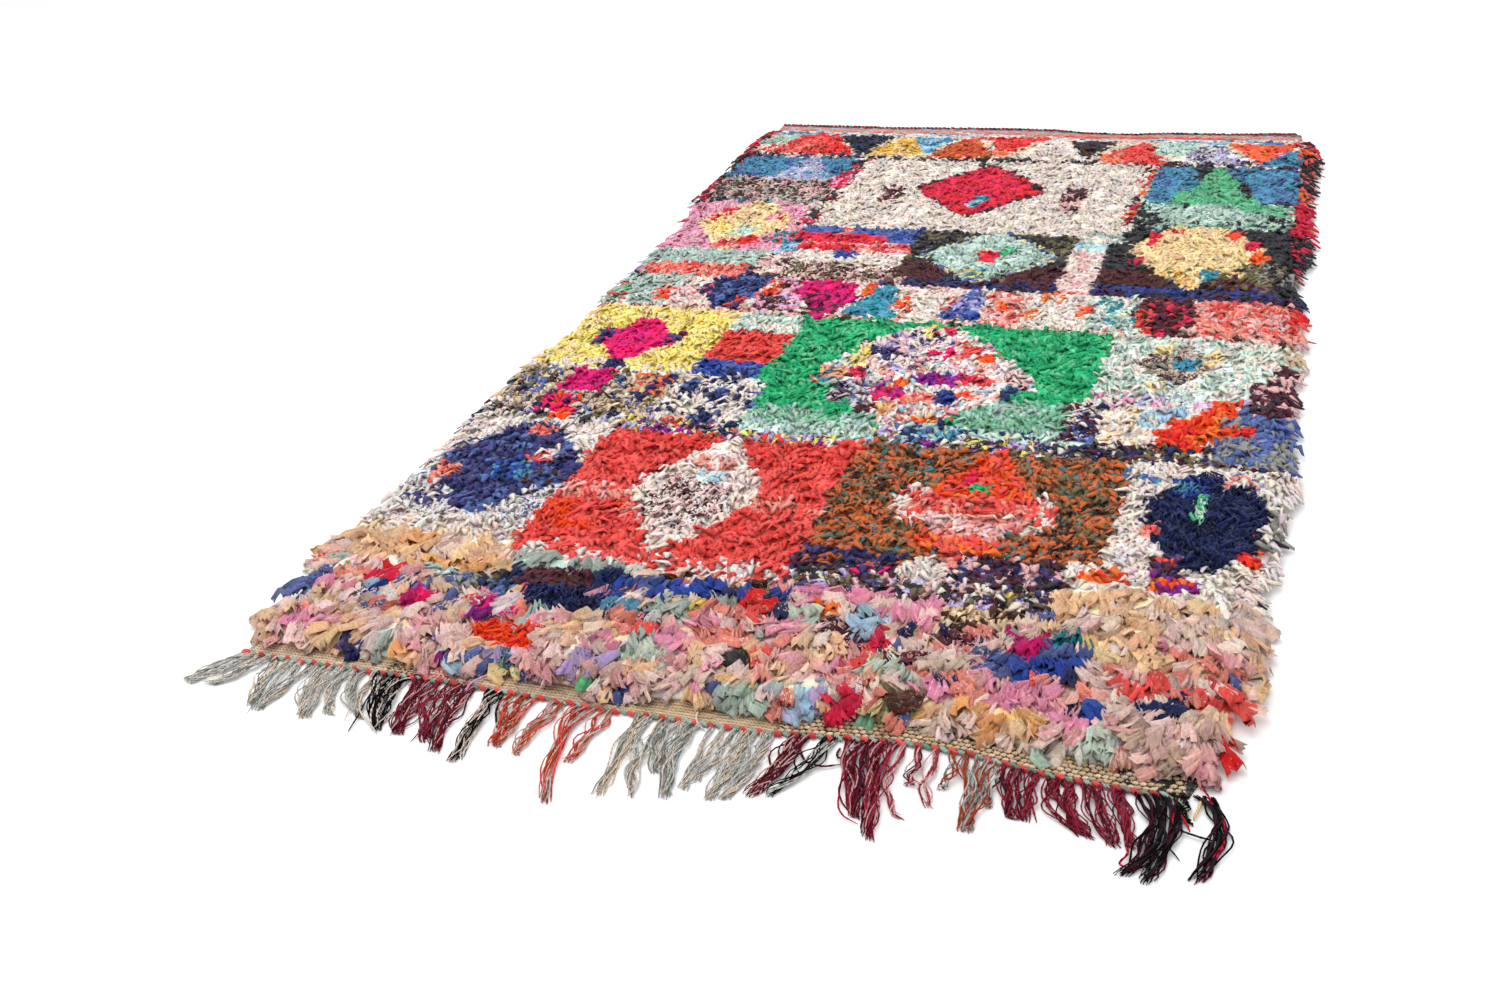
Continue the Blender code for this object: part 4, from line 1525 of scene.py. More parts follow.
@dataclass
class KnotField:
    """The knotted pile: rags, strips and yarns set in rows over the ground."""
    reader: PatternReader
    seed: int = 29
    rag_row: float = 1.6
    rag_step: float = 1.42
    strip_row: float = 1.12
    strip_step: float = 0.78
    yarn_row: float = 0.7
    yarn_step: float = 0.5
    root_height: float = 2.0
    tuft_top: float = 4.2
    crest: float = 0.4
    sag: tuple = (0.45, 1.15)
    proud: float = 1.25
    proud_sag: float = 0.3
    pull_at: tuple = (0, 10, 40, 230, 258)
    pull: tuple = (1.2, 0.9, 0.8, 0.7, 0.3)
    sweeps: int = 10
    sweep_length: tuple = (7, 24)
    sweep_share: float = 0.28
    splay: float = 1.7
    splay_width: float = 5.0
    side_gap: float = 1.5
    front_gap: float = 0.4
    back_gap: float = 7.4
    rag_depth: float = 40.0
    rag_reach: tuple = (2.2, 4.6)
    rag_width: tuple = (1.3, 3.4)
    rag_rings: int = 4
    rag_folds: int = 7
    # Painted shade: how much the wide rags' dyes are dimmed, most in green and blue.
    rag_wear: tuple = (0.97, 0.80, 0.77)
    strip_reach: tuple = (1.7, 3.6)
    strip_width: tuple = (0.65, 1.75)
    strip_profile: tuple = (0.7, 1.0, 0.4)
    strip_rings: int = 3
    rise_at: tuple = (60, 170)
    rise_share: tuple = (1.1, 0.8)
    stray_share: float = 0.12
    yarn_width: tuple = (0.35, 0.55)
    yarn_profile: tuple = (0.9, 1.0, 0.8)
    bed_rows: int = 290
    bed_columns: int = 165
    bed_height: float = 2.4
    # Painted light: how much lighter the bed is dyed than the tufts over it.
    bed_light: float = 1.35
    bed_near: float = 3.0
    bed_length: float = 254.5
    bed_inset: float = 1.9
    bed_bump: float = 0.16
    bed_shift: float = 0.12
    bed_foot: float = 0.42

    def places(self, row: float, step: float, rng: np.random.Generator) -> np.ndarray:
        """Set knots in uneven rows within the pile's edge.

        Args:
            row: distance between rows.
            step: distance between knots in a row.
            rng: the source of unevenness.

        Returns:
            Places in chart centimetres, a row of two for each knot.
        """
        y, x = np.meshgrid(np.arange(3.2, 263.2, row), np.arange(-76, 76, step), indexing="ij")
        x = x + (np.arange(len(x)) % 2)[:, None] * step / 2
        x = (x + rng.normal(0, 0.24 * step, x.shape)).ravel()
        y = (y + rng.normal(0, 0.2 * row, y.shape)).ravel()
        inside = (x > side_left(y) + self.side_gap) & (x < side_right(y) - self.side_gap)
        inside &= y > along(PILE_FRONT_EDGE, x) + self.front_gap
        inside &= y < along(BACK_EDGE, x) - self.back_gap
        return np.stack((x[inside], y[inside]), axis=1)

    def brushed(self, x: np.ndarray, y: np.ndarray) -> np.ndarray:
        """Brush the tufts as feet and hands do, in patches of a hand's size.

        Args:
            x: places across the rug, in chart centimetres.
            y: places along the rug, in chart centimetres.

        Returns:
            A lean on the floor for each place.
        """
        rng = np.random.default_rng(self.seed + 50)
        sweep = np.zeros((len(x), 2))
        for _ in range(self.sweeps):
            length, angle = rng.uniform(*self.sweep_length), rng.uniform(0, math.pi)
            phase = 2 * math.pi * (x * math.cos(angle) + y * math.sin(angle)) / length
            turned = rng.uniform(0, 2 * math.pi)
            sweep += (np.sin(phase + rng.uniform(0, 6.28))[:, None]
                      * (math.cos(turned), 0.7 * math.sin(turned)))
        return self.sweep_share * sweep

    def lean(self, place: np.ndarray, rng: np.random.Generator) -> np.ndarray:
        """Turn each tuft: towards the fringe at the front, freer behind, outwards at the rims.

        Args:
            place: knots in chart centimetres.
            rng: the source of unevenness.

        Returns:
            Directions on the floor, of length from 0 to 1.
        """
        x, y = place.T
        pull = np.interp(y, self.pull_at, self.pull)
        heading = np.stack((rng.normal(0, 0.22, len(x)), -pull + rng.normal(0, 0.18, len(x))), 1)
        heading += self.brushed(x, y)
        left = np.clip(1 - (x - side_left(y)) / self.splay_width, 0, 1)
        right = np.clip(1 - (side_right(y) - x) / self.splay_width, 0, 1)
        heading[:, 0] += self.splay * (right - left)
        return heading

    def curve(self, place: np.ndarray, heading: np.ndarray, reach: np.ndarray,
              rise: np.ndarray, rings: int, rng: np.random.Generator) -> np.ndarray:
        """Bend tufts from their knots up and over to their tips.

        Args:
            place: knots in chart centimetres.
            heading: direction of each on the floor.
            reach: how far each tip goes from its knot.
            rise: how high each tip stands above its knot.
            rings: how many rings each has.
            rng: the source of unevenness.

        Returns:
            Centre lines, an array of tufts, rings and three.
        """
        share = np.linspace(0, 1, rings)[None, :]
        out = reach[:, None] * share ** 1.25
        sway = (rng.normal(0, 0.22, len(place))[:, None] * np.sin(math.pi * share)
                * reach[:, None])
        height = self.root_height + rise[:, None] * np.clip(share / self.crest, 0, 1) ** 0.7
        rim = np.minimum(place[:, 0] - side_left(place[:, 1]),
                         side_right(place[:, 1]) - place[:, 0])
        rim = np.minimum(rim, place[:, 1] - along(PILE_FRONT_EDGE, place[:, 0]))
        height *= np.interp(rim, (0.5, 4), (0.5, 1))[:, None]
        droop = np.clip(1 - rim / 3.5, 0, 1)[:, None] * rise[:, None] * share ** 2 * 0.75
        behind = along(BACK_EDGE, place[:, 0]) - place[:, 1]
        height *= np.interp(behind, (6, 18), (0.4, 1))[:, None]
        turn = unit(heading)
        center = np.empty((len(place), rings, 3))
        center[..., 0] = place[:, :1] + turn[:, :1] * out - turn[:, 1:] * sway
        center[..., 1] = place[:, 1:] + turn[:, 1:] * out + turn[:, :1] * sway
        fall = np.clip((share - self.crest) / (1 - self.crest), 0, 1) ** 1.3
        sag = rng.uniform(*self.sag, len(place))[:, None] * fall
        rise = rise[:, None]
        sag = np.where(rise > self.proud, self.proud_sag * sag, sag * rise)
        center[..., 2] = np.maximum(height - droop - sag, 0.5)
        return center

    def sides(self, center: np.ndarray, heading: np.ndarray, twist: np.ndarray,
              turn: np.ndarray) -> np.ndarray:
        """Find the flat side's direction at each ring.

        Args:
            center: centre lines.
            heading: direction of each tuft on the floor.
            twist: the flat side's turn about the tuft, in radians.
            turn: how much more it turns towards the tip.

        Returns:
            Unit vectors, shaped like center.
        """
        heading = unit(heading)
        flat = np.stack((-heading[:, 1], heading[:, 0], np.zeros(len(heading))), axis=1)
        tangent = unit(np.gradient(center, axis=1))
        flat = np.broadcast_to(flat[:, None, :], center.shape)
        normal = unit(np.cross(tangent, flat))
        share = np.linspace(0, 1, center.shape[1])[None, :]
        angle = (twist[:, None] + turn[:, None] * share)[..., None]
        return flat * np.cos(angle) + normal * np.sin(angle)

    @staticmethod
    def worn(dye: np.ndarray, tip: float, rings: int) -> np.ndarray:
        """Repeat dyes for each ring, with painted light: a little lighter at the tips, which stand up
        into the light.
        """
        levels = np.append(np.ones(rings - 1), tip)
        return dye[:, None, :] * levels[None, :, None]

    def tops(self, place: np.ndarray, heading: np.ndarray, reach: np.ndarray) -> Reading:
        """Read the pattern where each tuft's upper half will lie."""
        top = place + unit(heading) * reach[:, None] * 0.6
        return self.reader.read(top[:, 0], top[:, 1])

    def wide_rags(self) -> Tubes:
        """Cut the wide crumpled rags of the front rows.

        Returns:
            The tufts.
        """
        rng = np.random.default_rng(self.seed)
        place = self.places(self.rag_row, self.rag_step, rng)
        place = place[place[:, 1] < self.rag_depth]
        heading = self.lean(place, rng)
        rim = place[:, 1] - along(PILE_FRONT_EDGE, place[:, 0])
        reach = rng.uniform(*self.rag_reach, len(place)) * np.interp(rim, (0, 4), (0.6, 1))
        reading = self.tops(place, heading, reach)
        chosen = reading.knot == Knot.WIDE_RAG.value
        place, heading, reach, reading = (place[chosen], heading[chosen], reach[chosen],
                                          reading.pick(chosen))
        count, rings, folds = len(place), self.rag_rings, self.rag_folds
        center = self.curve(place, heading, reach, 0.4 + 1.1 * rng.random(count), rings, rng)
        across = self.sides(center, heading, rng.normal(0, 0.25, count),
                            rng.normal(0, 0.3, count))
        width = rng.uniform(*self.rag_width, count)[:, None]
        share = np.linspace(0, 1, rings)[None, :]
        spread = width * np.interp(share, (0, 0.35, 1), (0.3, 0.65, 1.0))
        lanes = np.linspace(-0.5, 0.5, folds) + rng.normal(0, 0.05, (count, folds))
        zigzag = np.where(np.arange(folds) % 2 == 0, -0.5, 0.5)
        pleat = zigzag + rng.normal(0, 0.3, (count, folds))
        pleat *= rng.uniform(0.5, 1.2, (count, 1))
        section = np.zeros((count, rings, 2 * folds, 3))
        section[..., :folds, 0] = spread[..., None] * lanes[:, None, :]
        section[..., :folds, 1] = (pleat[:, None, :] * (0.55 + 0.45 * share[..., None])
                                   + rng.normal(0, 0.07, (count, rings, folds)))
        section[..., :folds, 2] = (rng.normal(0, 0.3, (count, rings, folds))
                                   * (share[..., None] == 1))
        section[..., folds:, :] = section[..., folds - 1::-1, :]
        section[..., folds:, 1] += 0.07
        # Painted light: the tips of the wide rags are a little lighter.
        # Painted shade: the wide rags' dyes are dimmed, most in green and blue, to tone down the
        # light on the front rows.
        return Tubes(center, across, section, self.worn(reading.dye * self.rag_wear, 1.04, rings),
                     reading.fleck, reading.share, highest=self.tuft_top)

    def strips(self, knot: Knot) -> Tubes:
        """Cut the narrow rag strips, or the yarns, of the rest of the pile.

        Args:
            knot: which of the two.

        Returns:
            The tufts.
        """
        yarn = knot is Knot.YARN
        rng = np.random.default_rng(self.seed + 1 + knot.value)
        row, step, cut, profile = (
            (self.yarn_row, self.yarn_step, self.yarn_width, self.yarn_profile) if yarn else
            (self.strip_row, self.strip_step, self.strip_width, self.strip_profile))
        place = self.places(row, step, rng)
        heading = self.lean(place, rng)
        reach = rng.uniform(*self.strip_reach, len(place))
        reading = self.tops(place, heading, reach)
        chosen = reading.knot == knot.value
        place, heading, reach, reading = (place[chosen], heading[chosen], reach[chosen],
                                          reading.pick(chosen))
        count, rings = len(place), self.strip_rings
        rise = 0.55 + 0.5 * rng.random(count) + 0.6 * (rng.random(count) < self.stray_share)
        rise *= np.interp(place[:, 1], self.rise_at, self.rise_share)
        center = self.curve(place, heading, reach, rise, rings, rng)
        across = self.sides(center, heading, rng.normal(0, 0.18, count),
                            rng.normal(0, 0.22, count))
        width = rng.uniform(*cut, count)
        share = np.linspace(0, 1, rings)[None, :]
        spread = width[:, None] * np.interp(share, (0, 0.5, 1), profile)
        thick = (0.8 * width[:, None] if yarn
                 else rng.uniform(0.05, 0.12, count)[:, None] * np.ones((1, rings)))
        ridge = rng.uniform(-0.35, 0.35, count)[:, None]
        slant = rng.normal(0, 0.35, count)[:, None] * spread * (share == 1)
        section = np.zeros((count, rings, 3, 3))
        section[..., 0, 0] = -0.5 * spread
        section[..., 1, 0] = 0.5 * spread
        section[..., 2, 0] = ridge * spread
        section[..., :2, 1] = -0.4 * thick[..., None] if yarn else -0.16
        section[..., 2, 1] = 0.6 * thick
        section[..., 0, 2] = -slant
        section[..., 1, 2] = slant
        # Painted light: the tips of the strips and yarns are a little lighter.
        return Tubes(center, across, section, self.worn(reading.dye, 1.03, rings),
                     reading.fleck, reading.share, highest=self.tuft_top)

    def bed(self) -> bpy.types.Object:
        """Make the closed bed of knot roots under the tufts.

        Returns:
            The bed, in the colours of the tufts over it, but lighter, for it lies in shadow.
        """
        rng = np.random.default_rng(self.seed + 9)
        rows, columns = self.bed_rows, self.bed_columns
        y, share = np.meshgrid(np.linspace(0, 1, rows), np.linspace(0, 1, columns),
                               indexing="ij")
        level = self.bed_near + y * self.bed_length
        left, right = side_left(level) + self.bed_inset, side_right(level) - self.bed_inset
        x = left + (right - left) * share
        front = along(PILE_FRONT_EDGE, x) + 0.5
        back = along(BACK_EDGE, x) - 7.0
        y = front + (back - front) * y
        z = self.bed_height + rng.uniform(-self.bed_bump, self.bed_bump, x.shape)
        z *= np.interp(along(BACK_EDGE, x) - y, (7, 18), (0.4, 1))
        rim = np.minimum.reduce((x - left, right - x, y - front))
        z *= np.interp(rim, (0, 3), (0.4, 1))
        for places in (x, y):
            places[1:-1, 1:-1] += rng.normal(0, self.bed_shift, places[1:-1, 1:-1].shape)
        top = np.stack((x, y, z), axis=-1).reshape(-1, 3)
        reading = self.reader.read(top[:, 0], top[:, 1])
        quads, rim = grid_faces(rows, columns)
        low = np.arange(len(rim)) + len(top)
        walls = np.stack((low, np.roll(low, -1), np.roll(rim, -1), rim), axis=-1)
        corners = np.concatenate((quads.ravel(), walls.ravel(), low[::-1]))
        sizes = np.concatenate((np.full(len(quads) + len(walls), 4), (len(low),)))
        points = np.concatenate((top, top[rim] * (1, 1, 0) + (0, 0, self.bed_foot)))
        piece = raw_object("knot_bed", metres(points), corners, sizes)
        source = np.concatenate((np.arange(len(top)), rim))
        lay_uv(piece, "strip", points[corners, :2] * (0.9, 0.5))
        # Painted light: the bed's dyes are lighter than the tufts' over it, to offset the shade it
        # lies in.
        paint(piece, "dye", np.minimum(self.bed_light * reading.dye[source], BRIGHTEST),
              np.ones(len(points)))
        paint(piece, "fleck", reading.fleck[source], reading.share[source])
        return piece

    def build(self) -> list:
        """Make every piece of the pile and report them.

        Returns:
            The pieces that stand for the pile's solid.
        """
        pieces = [self.bed(), self.wide_rags().build("front_rags")]
        strips = self.strips(Knot.STRIP)
        parts = math.ceil(strips.triangles / MOST_TRIANGLES)
        for number in range(parts):
            pieces.append(strips.every(parts, number).build(f"rag_strips_{number + 1}"))
        pieces.append(self.strips(Knot.YARN).build("yarn_knots"))
        for piece in pieces:
            RAG_FINISH.dress(piece)
            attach(piece, BODY)
            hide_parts("rag_pile")
            piece.data.calc_loop_triangles()
            log.info("%s: %d triangles", piece.name, len(piece.data.loop_triangles))
        return pieces


@dataclass
class TwinedCord:
    """A two-colour cord twined along an edge: slanting stitches, each like a grain."""
    name: str
    slot: str
    edge: tuple
    left: float
    right: float
    dyes: tuple
    finish: WoolFinish
    height: float = 0.42
    length: float = 1.5
    radius: float = 0.42
    pitch: float = 1.15
    slant: float = 0.5
    rings: int = 5
    seed: int = 41

    def stitches(self) -> Tubes:
        """Lay the stitches side by side along the edge.

        Returns:
            The stitches.
        """
        rng = np.random.default_rng(self.seed)
        x = np.arange(self.left, self.right, self.pitch)
        count = len(x)
        share = np.linspace(-0.5, 0.5, self.rings)[None, :]
        size = self.length * rng.uniform(0.85, 1.15, count)[:, None]
        center = np.empty((count, self.rings, 3))
        center[..., 0] = x[:, None] + share * size * math.cos(self.slant)
        center[..., 1] = (along(self.edge, x)[:, None] + rng.normal(0, 0.06, count)[:, None]
                          - share * size * math.sin(self.slant))
        center[..., 2] = self.height + rng.normal(0, 0.03, count)[:, None]
        swell = self.radius * np.array((0.35, 0.85, 1.0, 0.85, 0.35))[None, :]
        swell = swell * np.where(np.arange(count) % 2, 0.85, 1.02)[:, None]
        across = np.broadcast_to(np.array((0.0, 1.0, 0.0)), center.shape).copy()
        colours = np.stack([linear(row)[rng.integers(0, len(row.split()), count)]
                            for row in self.dyes])
        dye = colours[np.arange(count) % 2, np.arange(count)]
        dye = dye * np.clip(0.82 + 0.12 * rng.standard_normal((count, 1)), 0.6, 1.1)
        return Tubes(center, across, oval(swell, 6, tall=0.85),
                     np.repeat(dye[:, None, :], self.rings, axis=1), dye * 0.8,
                     np.full(count, 0.6))

    def build(self) -> bpy.types.Object:
        """Make the cord one piece that replaces its solid.

        Returns:
            The cord.
        """
        piece = self.stitches().build(f"{self.name}_stitches")
        soften(piece)
        self.finish.dress(piece)
        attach(piece, BODY)
        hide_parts(self.name)
        log.info("%s: %d faces", piece.name, len(piece.data.polygons))
        return piece


@dataclass
class BandBumps:
    """Rows of thick weft bumps on the bare band behind the right part of the fringe."""
    left: float = 14.5
    right: float = 66.0
    rows: int = 5
    pitch: float = 0.92
    row_pitch: float = 0.8
    radius: float = 0.3

    def build(self) -> bpy.types.Object:
        """Make the bumps one piece.

        Returns:
            The bumps.
        """
        rng = np.random.default_rng(57)
        x, row = np.meshgrid(np.arange(self.left, self.right, self.pitch),
                             np.arange(self.rows), indexing="xy")
        x = (x + (row % 2) * self.pitch / 2 + rng.normal(0, 0.06, x.shape)).ravel()
        row = row.ravel()
        y = along(FRONT_EDGE, x) + 0.85 + row * self.row_pitch + rng.normal(0, 0.05, len(x))
        keep = (x < 58) | (rng.random(len(x)) < 0.75)
        x, y = x[keep], y[keep]
        count = len(x)
        share = np.linspace(-0.5, 0.5, 4)[None, :]
        center = np.empty((count, 4, 3))
        center[..., 0] = x[:, None] + share * 0.86
        center[..., 1] = y[:, None] + share * 0.12
        center[..., 2] = 0.36
        swell = np.tile(self.radius * np.array((0.4, 1.0, 1.0, 0.4)), (count, 1))
        across = np.broadcast_to(np.array((0.0, 1.0, 0.0)), center.shape).copy()
        dye = linear("tan tan beige khaki")[rng.integers(0, 4, count)]
        dye = dye * np.clip(1 + 0.12 * rng.standard_normal((count, 1)), 0.7, 1.3)
        tubes = Tubes(center, across, oval(swell, 6, 1.05, 0.8),
                      np.repeat(dye[:, None, :], 4, axis=1), dye * 0.7, np.full(count, 0.5))
        piece = tubes.build("band_bumps")
        FRONT_CORD_FINISH.dress(piece)
        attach(piece, BODY)
        return piece


class Bunch(NamedTuple):
    """A bunch of fringe strands: roots on the edge, one bend, and tips on the floor."""
    root_left: float
    root_right: float
    strands: int
    bend_x: float
    bend_y: float
    tip_left: float
    tip_right: float
    tip_y: float


class Yarn(NamedTuple):
    """One loose yarn: its two dyes, its thickness, and the floor points that it follows."""
    dyes: str
    radius: float
    path: tuple


@dataclass
class WarpFringe:
    """One stretch of the fringe, in warp of one colour, with the loose yarns on it."""
    name: str
    slot: str
    dyes: str
    bunches: tuple
    loose: tuple = ()
    seed: int = 61
    yarns_each: int = 6
    rings: int = 16
    radius: float = 0.115
    twist: float = 0.25
    fray: float = 0.5
    strays: float = 0.38
    floor_gap: float = 0.13

    def bundle(self, bunch: Bunch, rng: np.random.Generator) -> np.ndarray:
        """Run one bunch's yarns from the edge over the bend to the tips.

        Args:
            bunch: the bunch.
            rng: the source of unevenness.

        Returns:
            Centre lines, an array of yarns, rings and three.
        """
        count = bunch.strands
        share = np.linspace(0, 1, self.rings)[None, :, None]
        lot = np.linspace(0, 1, count) if count > 1 else np.array((0.5,))
        root_x = bunch.root_left + (bunch.root_right - bunch.root_left) * lot
        root = np.stack((root_x, along(FRONT_EDGE, root_x) + 0.25, np.full(count, 0.35)), 1)
        mix = np.clip(lot + rng.normal(0, 0.16, count), 0, 1)
        gather = 0.3 * (bunch.root_right - bunch.root_left)
        bend = np.stack((bunch.bend_x + gather * (mix * 2 - 1) + rng.normal(0, 0.15, count),
                         bunch.bend_y + rng.normal(0, 0.5, count),
                         rng.uniform(0.4, 0.9, count)), 1)
        mix = 0.5 + 0.55 * np.clip(mix - 0.5 + rng.normal(0, 0.2, count), -0.6, 0.6)
        short = np.abs(rng.normal(0, 0.08, count)) * (bunch.bend_y - bunch.tip_y)
        tip = np.stack((bunch.tip_left + (bunch.tip_right - bunch.tip_left) * mix,
                        bunch.tip_y + short, np.full(count, 0.22)), 1)
        pull = 2 * bend - 0.5 * (root + tip)
        root, pull, tip = root[:, None], pull[:, None], tip[:, None]
        line = (1 - share) ** 2 * root + 2 * share * (1 - share) * pull + share ** 2 * tip
        share = share[..., 0]
        phase = rng.uniform(0, 6.28, (count, 1))
        waves = rng.uniform(7, 14, (count, 1))
        size = rng.uniform(0.1, 0.38, (count, 1)) * np.sin(math.pi * share) ** 0.5
        line[..., 0] += size * np.sin(phase + waves * share)
        line[..., 1] += 0.4 * size * np.cos(phase + 0.7 * waves * share)
        line = np.repeat(line, self.yarns_each, axis=0)
        yarns = len(line)
        turns = np.repeat(rng.uniform(9, 16, (count, 1)), self.yarns_each, axis=0)
        angle = (np.arange(yarns)[:, None] * 2 * math.pi / self.yarns_each
                 + turns * share + rng.normal(0, 0.3, (yarns, 1)))
        fray = rng.uniform(0.2, 1.3, (yarns, 1)) * np.clip(share - 0.8, 0, 1) * 3.2
        spread = self.twist * rng.uniform(0.7, 1.4, (yarns, 1)) + fray * self.fray
        stray = rng.uniform(0.5, 1.5, (yarns, 1)) * (rng.random((yarns, 1)) < self.strays)
        line[..., 0] += spread * np.cos(angle)
        line[..., 0] += stray * np.sin(5.5 * share + 3 * angle[:, :1]) * np.sin(math.pi * share)
        line[..., 1] += 0.35 * fray * self.fray * np.cos(angle * 0.5)
        line[..., 2] += 0.75 * spread * np.sin(angle)
        line[..., 2] = np.maximum(line[..., 2], self.floor_gap)
        return line

    def loose_line(self, yarn: Yarn) -> np.ndarray:
        """Run one loose yarn smoothly through its points.

        Args:
            yarn: its points in chart centimetres.

        Returns:
            The line's points.
        """
        path = np.array(yarn.path, dtype=float)
        place = np.linspace(0, 1, len(path))
        share = np.linspace(0, 1, self.rings)
        dense = np.linspace(0, 1, 61)
        line = np.stack([np.interp(dense, place, path[:, axis]) for axis in (0, 1)], axis=1)
        for _ in range(4):
            line[1:-1] = (line[:-2] + line[1:-1] + line[2:]) / 3
            line[2:-2] = (line[:-4] + line[2:-2] + line[4:]) / 3
        out = np.stack([np.interp(share, dense, line[:, axis]) for axis in (0, 1)], axis=1)
        over = np.where(out[:, 1] > -0.6, 0.95, 0.55) * np.sin(math.pi * share) ** 0.4
        return np.column_stack((out, np.maximum(over, 0.2)))

    def build(self) -> bpy.types.Object:
        """Make the stretch one piece that replaces its solid.

        Returns:
            The piece.
        """
        rng = np.random.default_rng(self.seed + sum(map(ord, self.name)))
        lines = [self.bundle(bunch, rng) for bunch in self.bunches]
        bundled = sum(len(line) for line in lines)
        lines += [self.loose_line(yarn)[None] for yarn in self.loose]
        center = np.concatenate(lines)
        count = len(center)
        colours = linear(self.dyes)
        dye = colours[rng.integers(0, len(colours), count)]
        other = colours[rng.integers(0, len(colours), count)]
        fleck = np.where(rng.random((count, 1)) < 0.25, 0.5 * (dye + other), dye * 0.8)
        radius = self.radius * rng.uniform(0.8, 1.2, count)
        for number, yarn in enumerate(self.loose):
            dye[bundled + number] = linear(yarn.dyes)[0]
            fleck[bundled + number] = linear(yarn.dyes)[-1]
            radius[bundled + number] = yarn.radius
        dye = dye * np.clip(1 + 0.12 * rng.standard_normal((count, 1)), 0.7, 1.3)
        share = np.linspace(0, 1, self.rings)[None, :]
        swell = radius[:, None] * np.interp(share, (0, 0.85, 1), (1, 1, 0.45))
        swell = swell * (1 + 0.15 * np.sin(share * 40 + rng.uniform(0, 6, (count, 1))))
        tangent = unit(np.gradient(center, axis=1))
        across = unit(np.cross(np.array((0.0, 0.0, 1.0)), tangent))
        tubes = Tubes(center, across, oval(swell, 4),
                      np.repeat(dye[:, None, :], self.rings, axis=1), fleck, np.ones(count))
        piece = tubes.build(f"{self.name}_yarns")
        soften(piece)
        WARP_FINISHES[self.slot].dress(piece)
        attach(piece, BODY)
        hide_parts(self.name)
        log.info("%s: %d yarns", piece.name, count)
        return piece


def fringe(name: str, slot: str, dyes: str, rows: str) -> WarpFringe:
    """Read a chart of one stretch of the fringe.

    Args:
        name: the node that it replaces.
        slot: the node's material slot.
        dyes: a row of dye names.
        rows: a bunch or a loose yarn in each line. A bunch is its eight numbers in order. A yarn
            is its two dyes and its radius, then its points with commas between them.

    Returns:
        The stretch.
    """
    bunches, loose = [], []
    for row in rows.strip().splitlines():
        words = row.replace(",", "").split()
        if words[0] in DYES:
            numbers = [float(word) for word in words[3:]]
            loose.append(Yarn(" ".join(words[:2]), float(words[2]),
                              tuple(zip(numbers[::2], numbers[1::2]))))
        else:
            numbers = [float(word) for word in words]
            bunches.append(Bunch(*numbers)._replace(strands=int(words[2])))
    return WarpFringe(name, slot, dyes, tuple(bunches), tuple(loose))


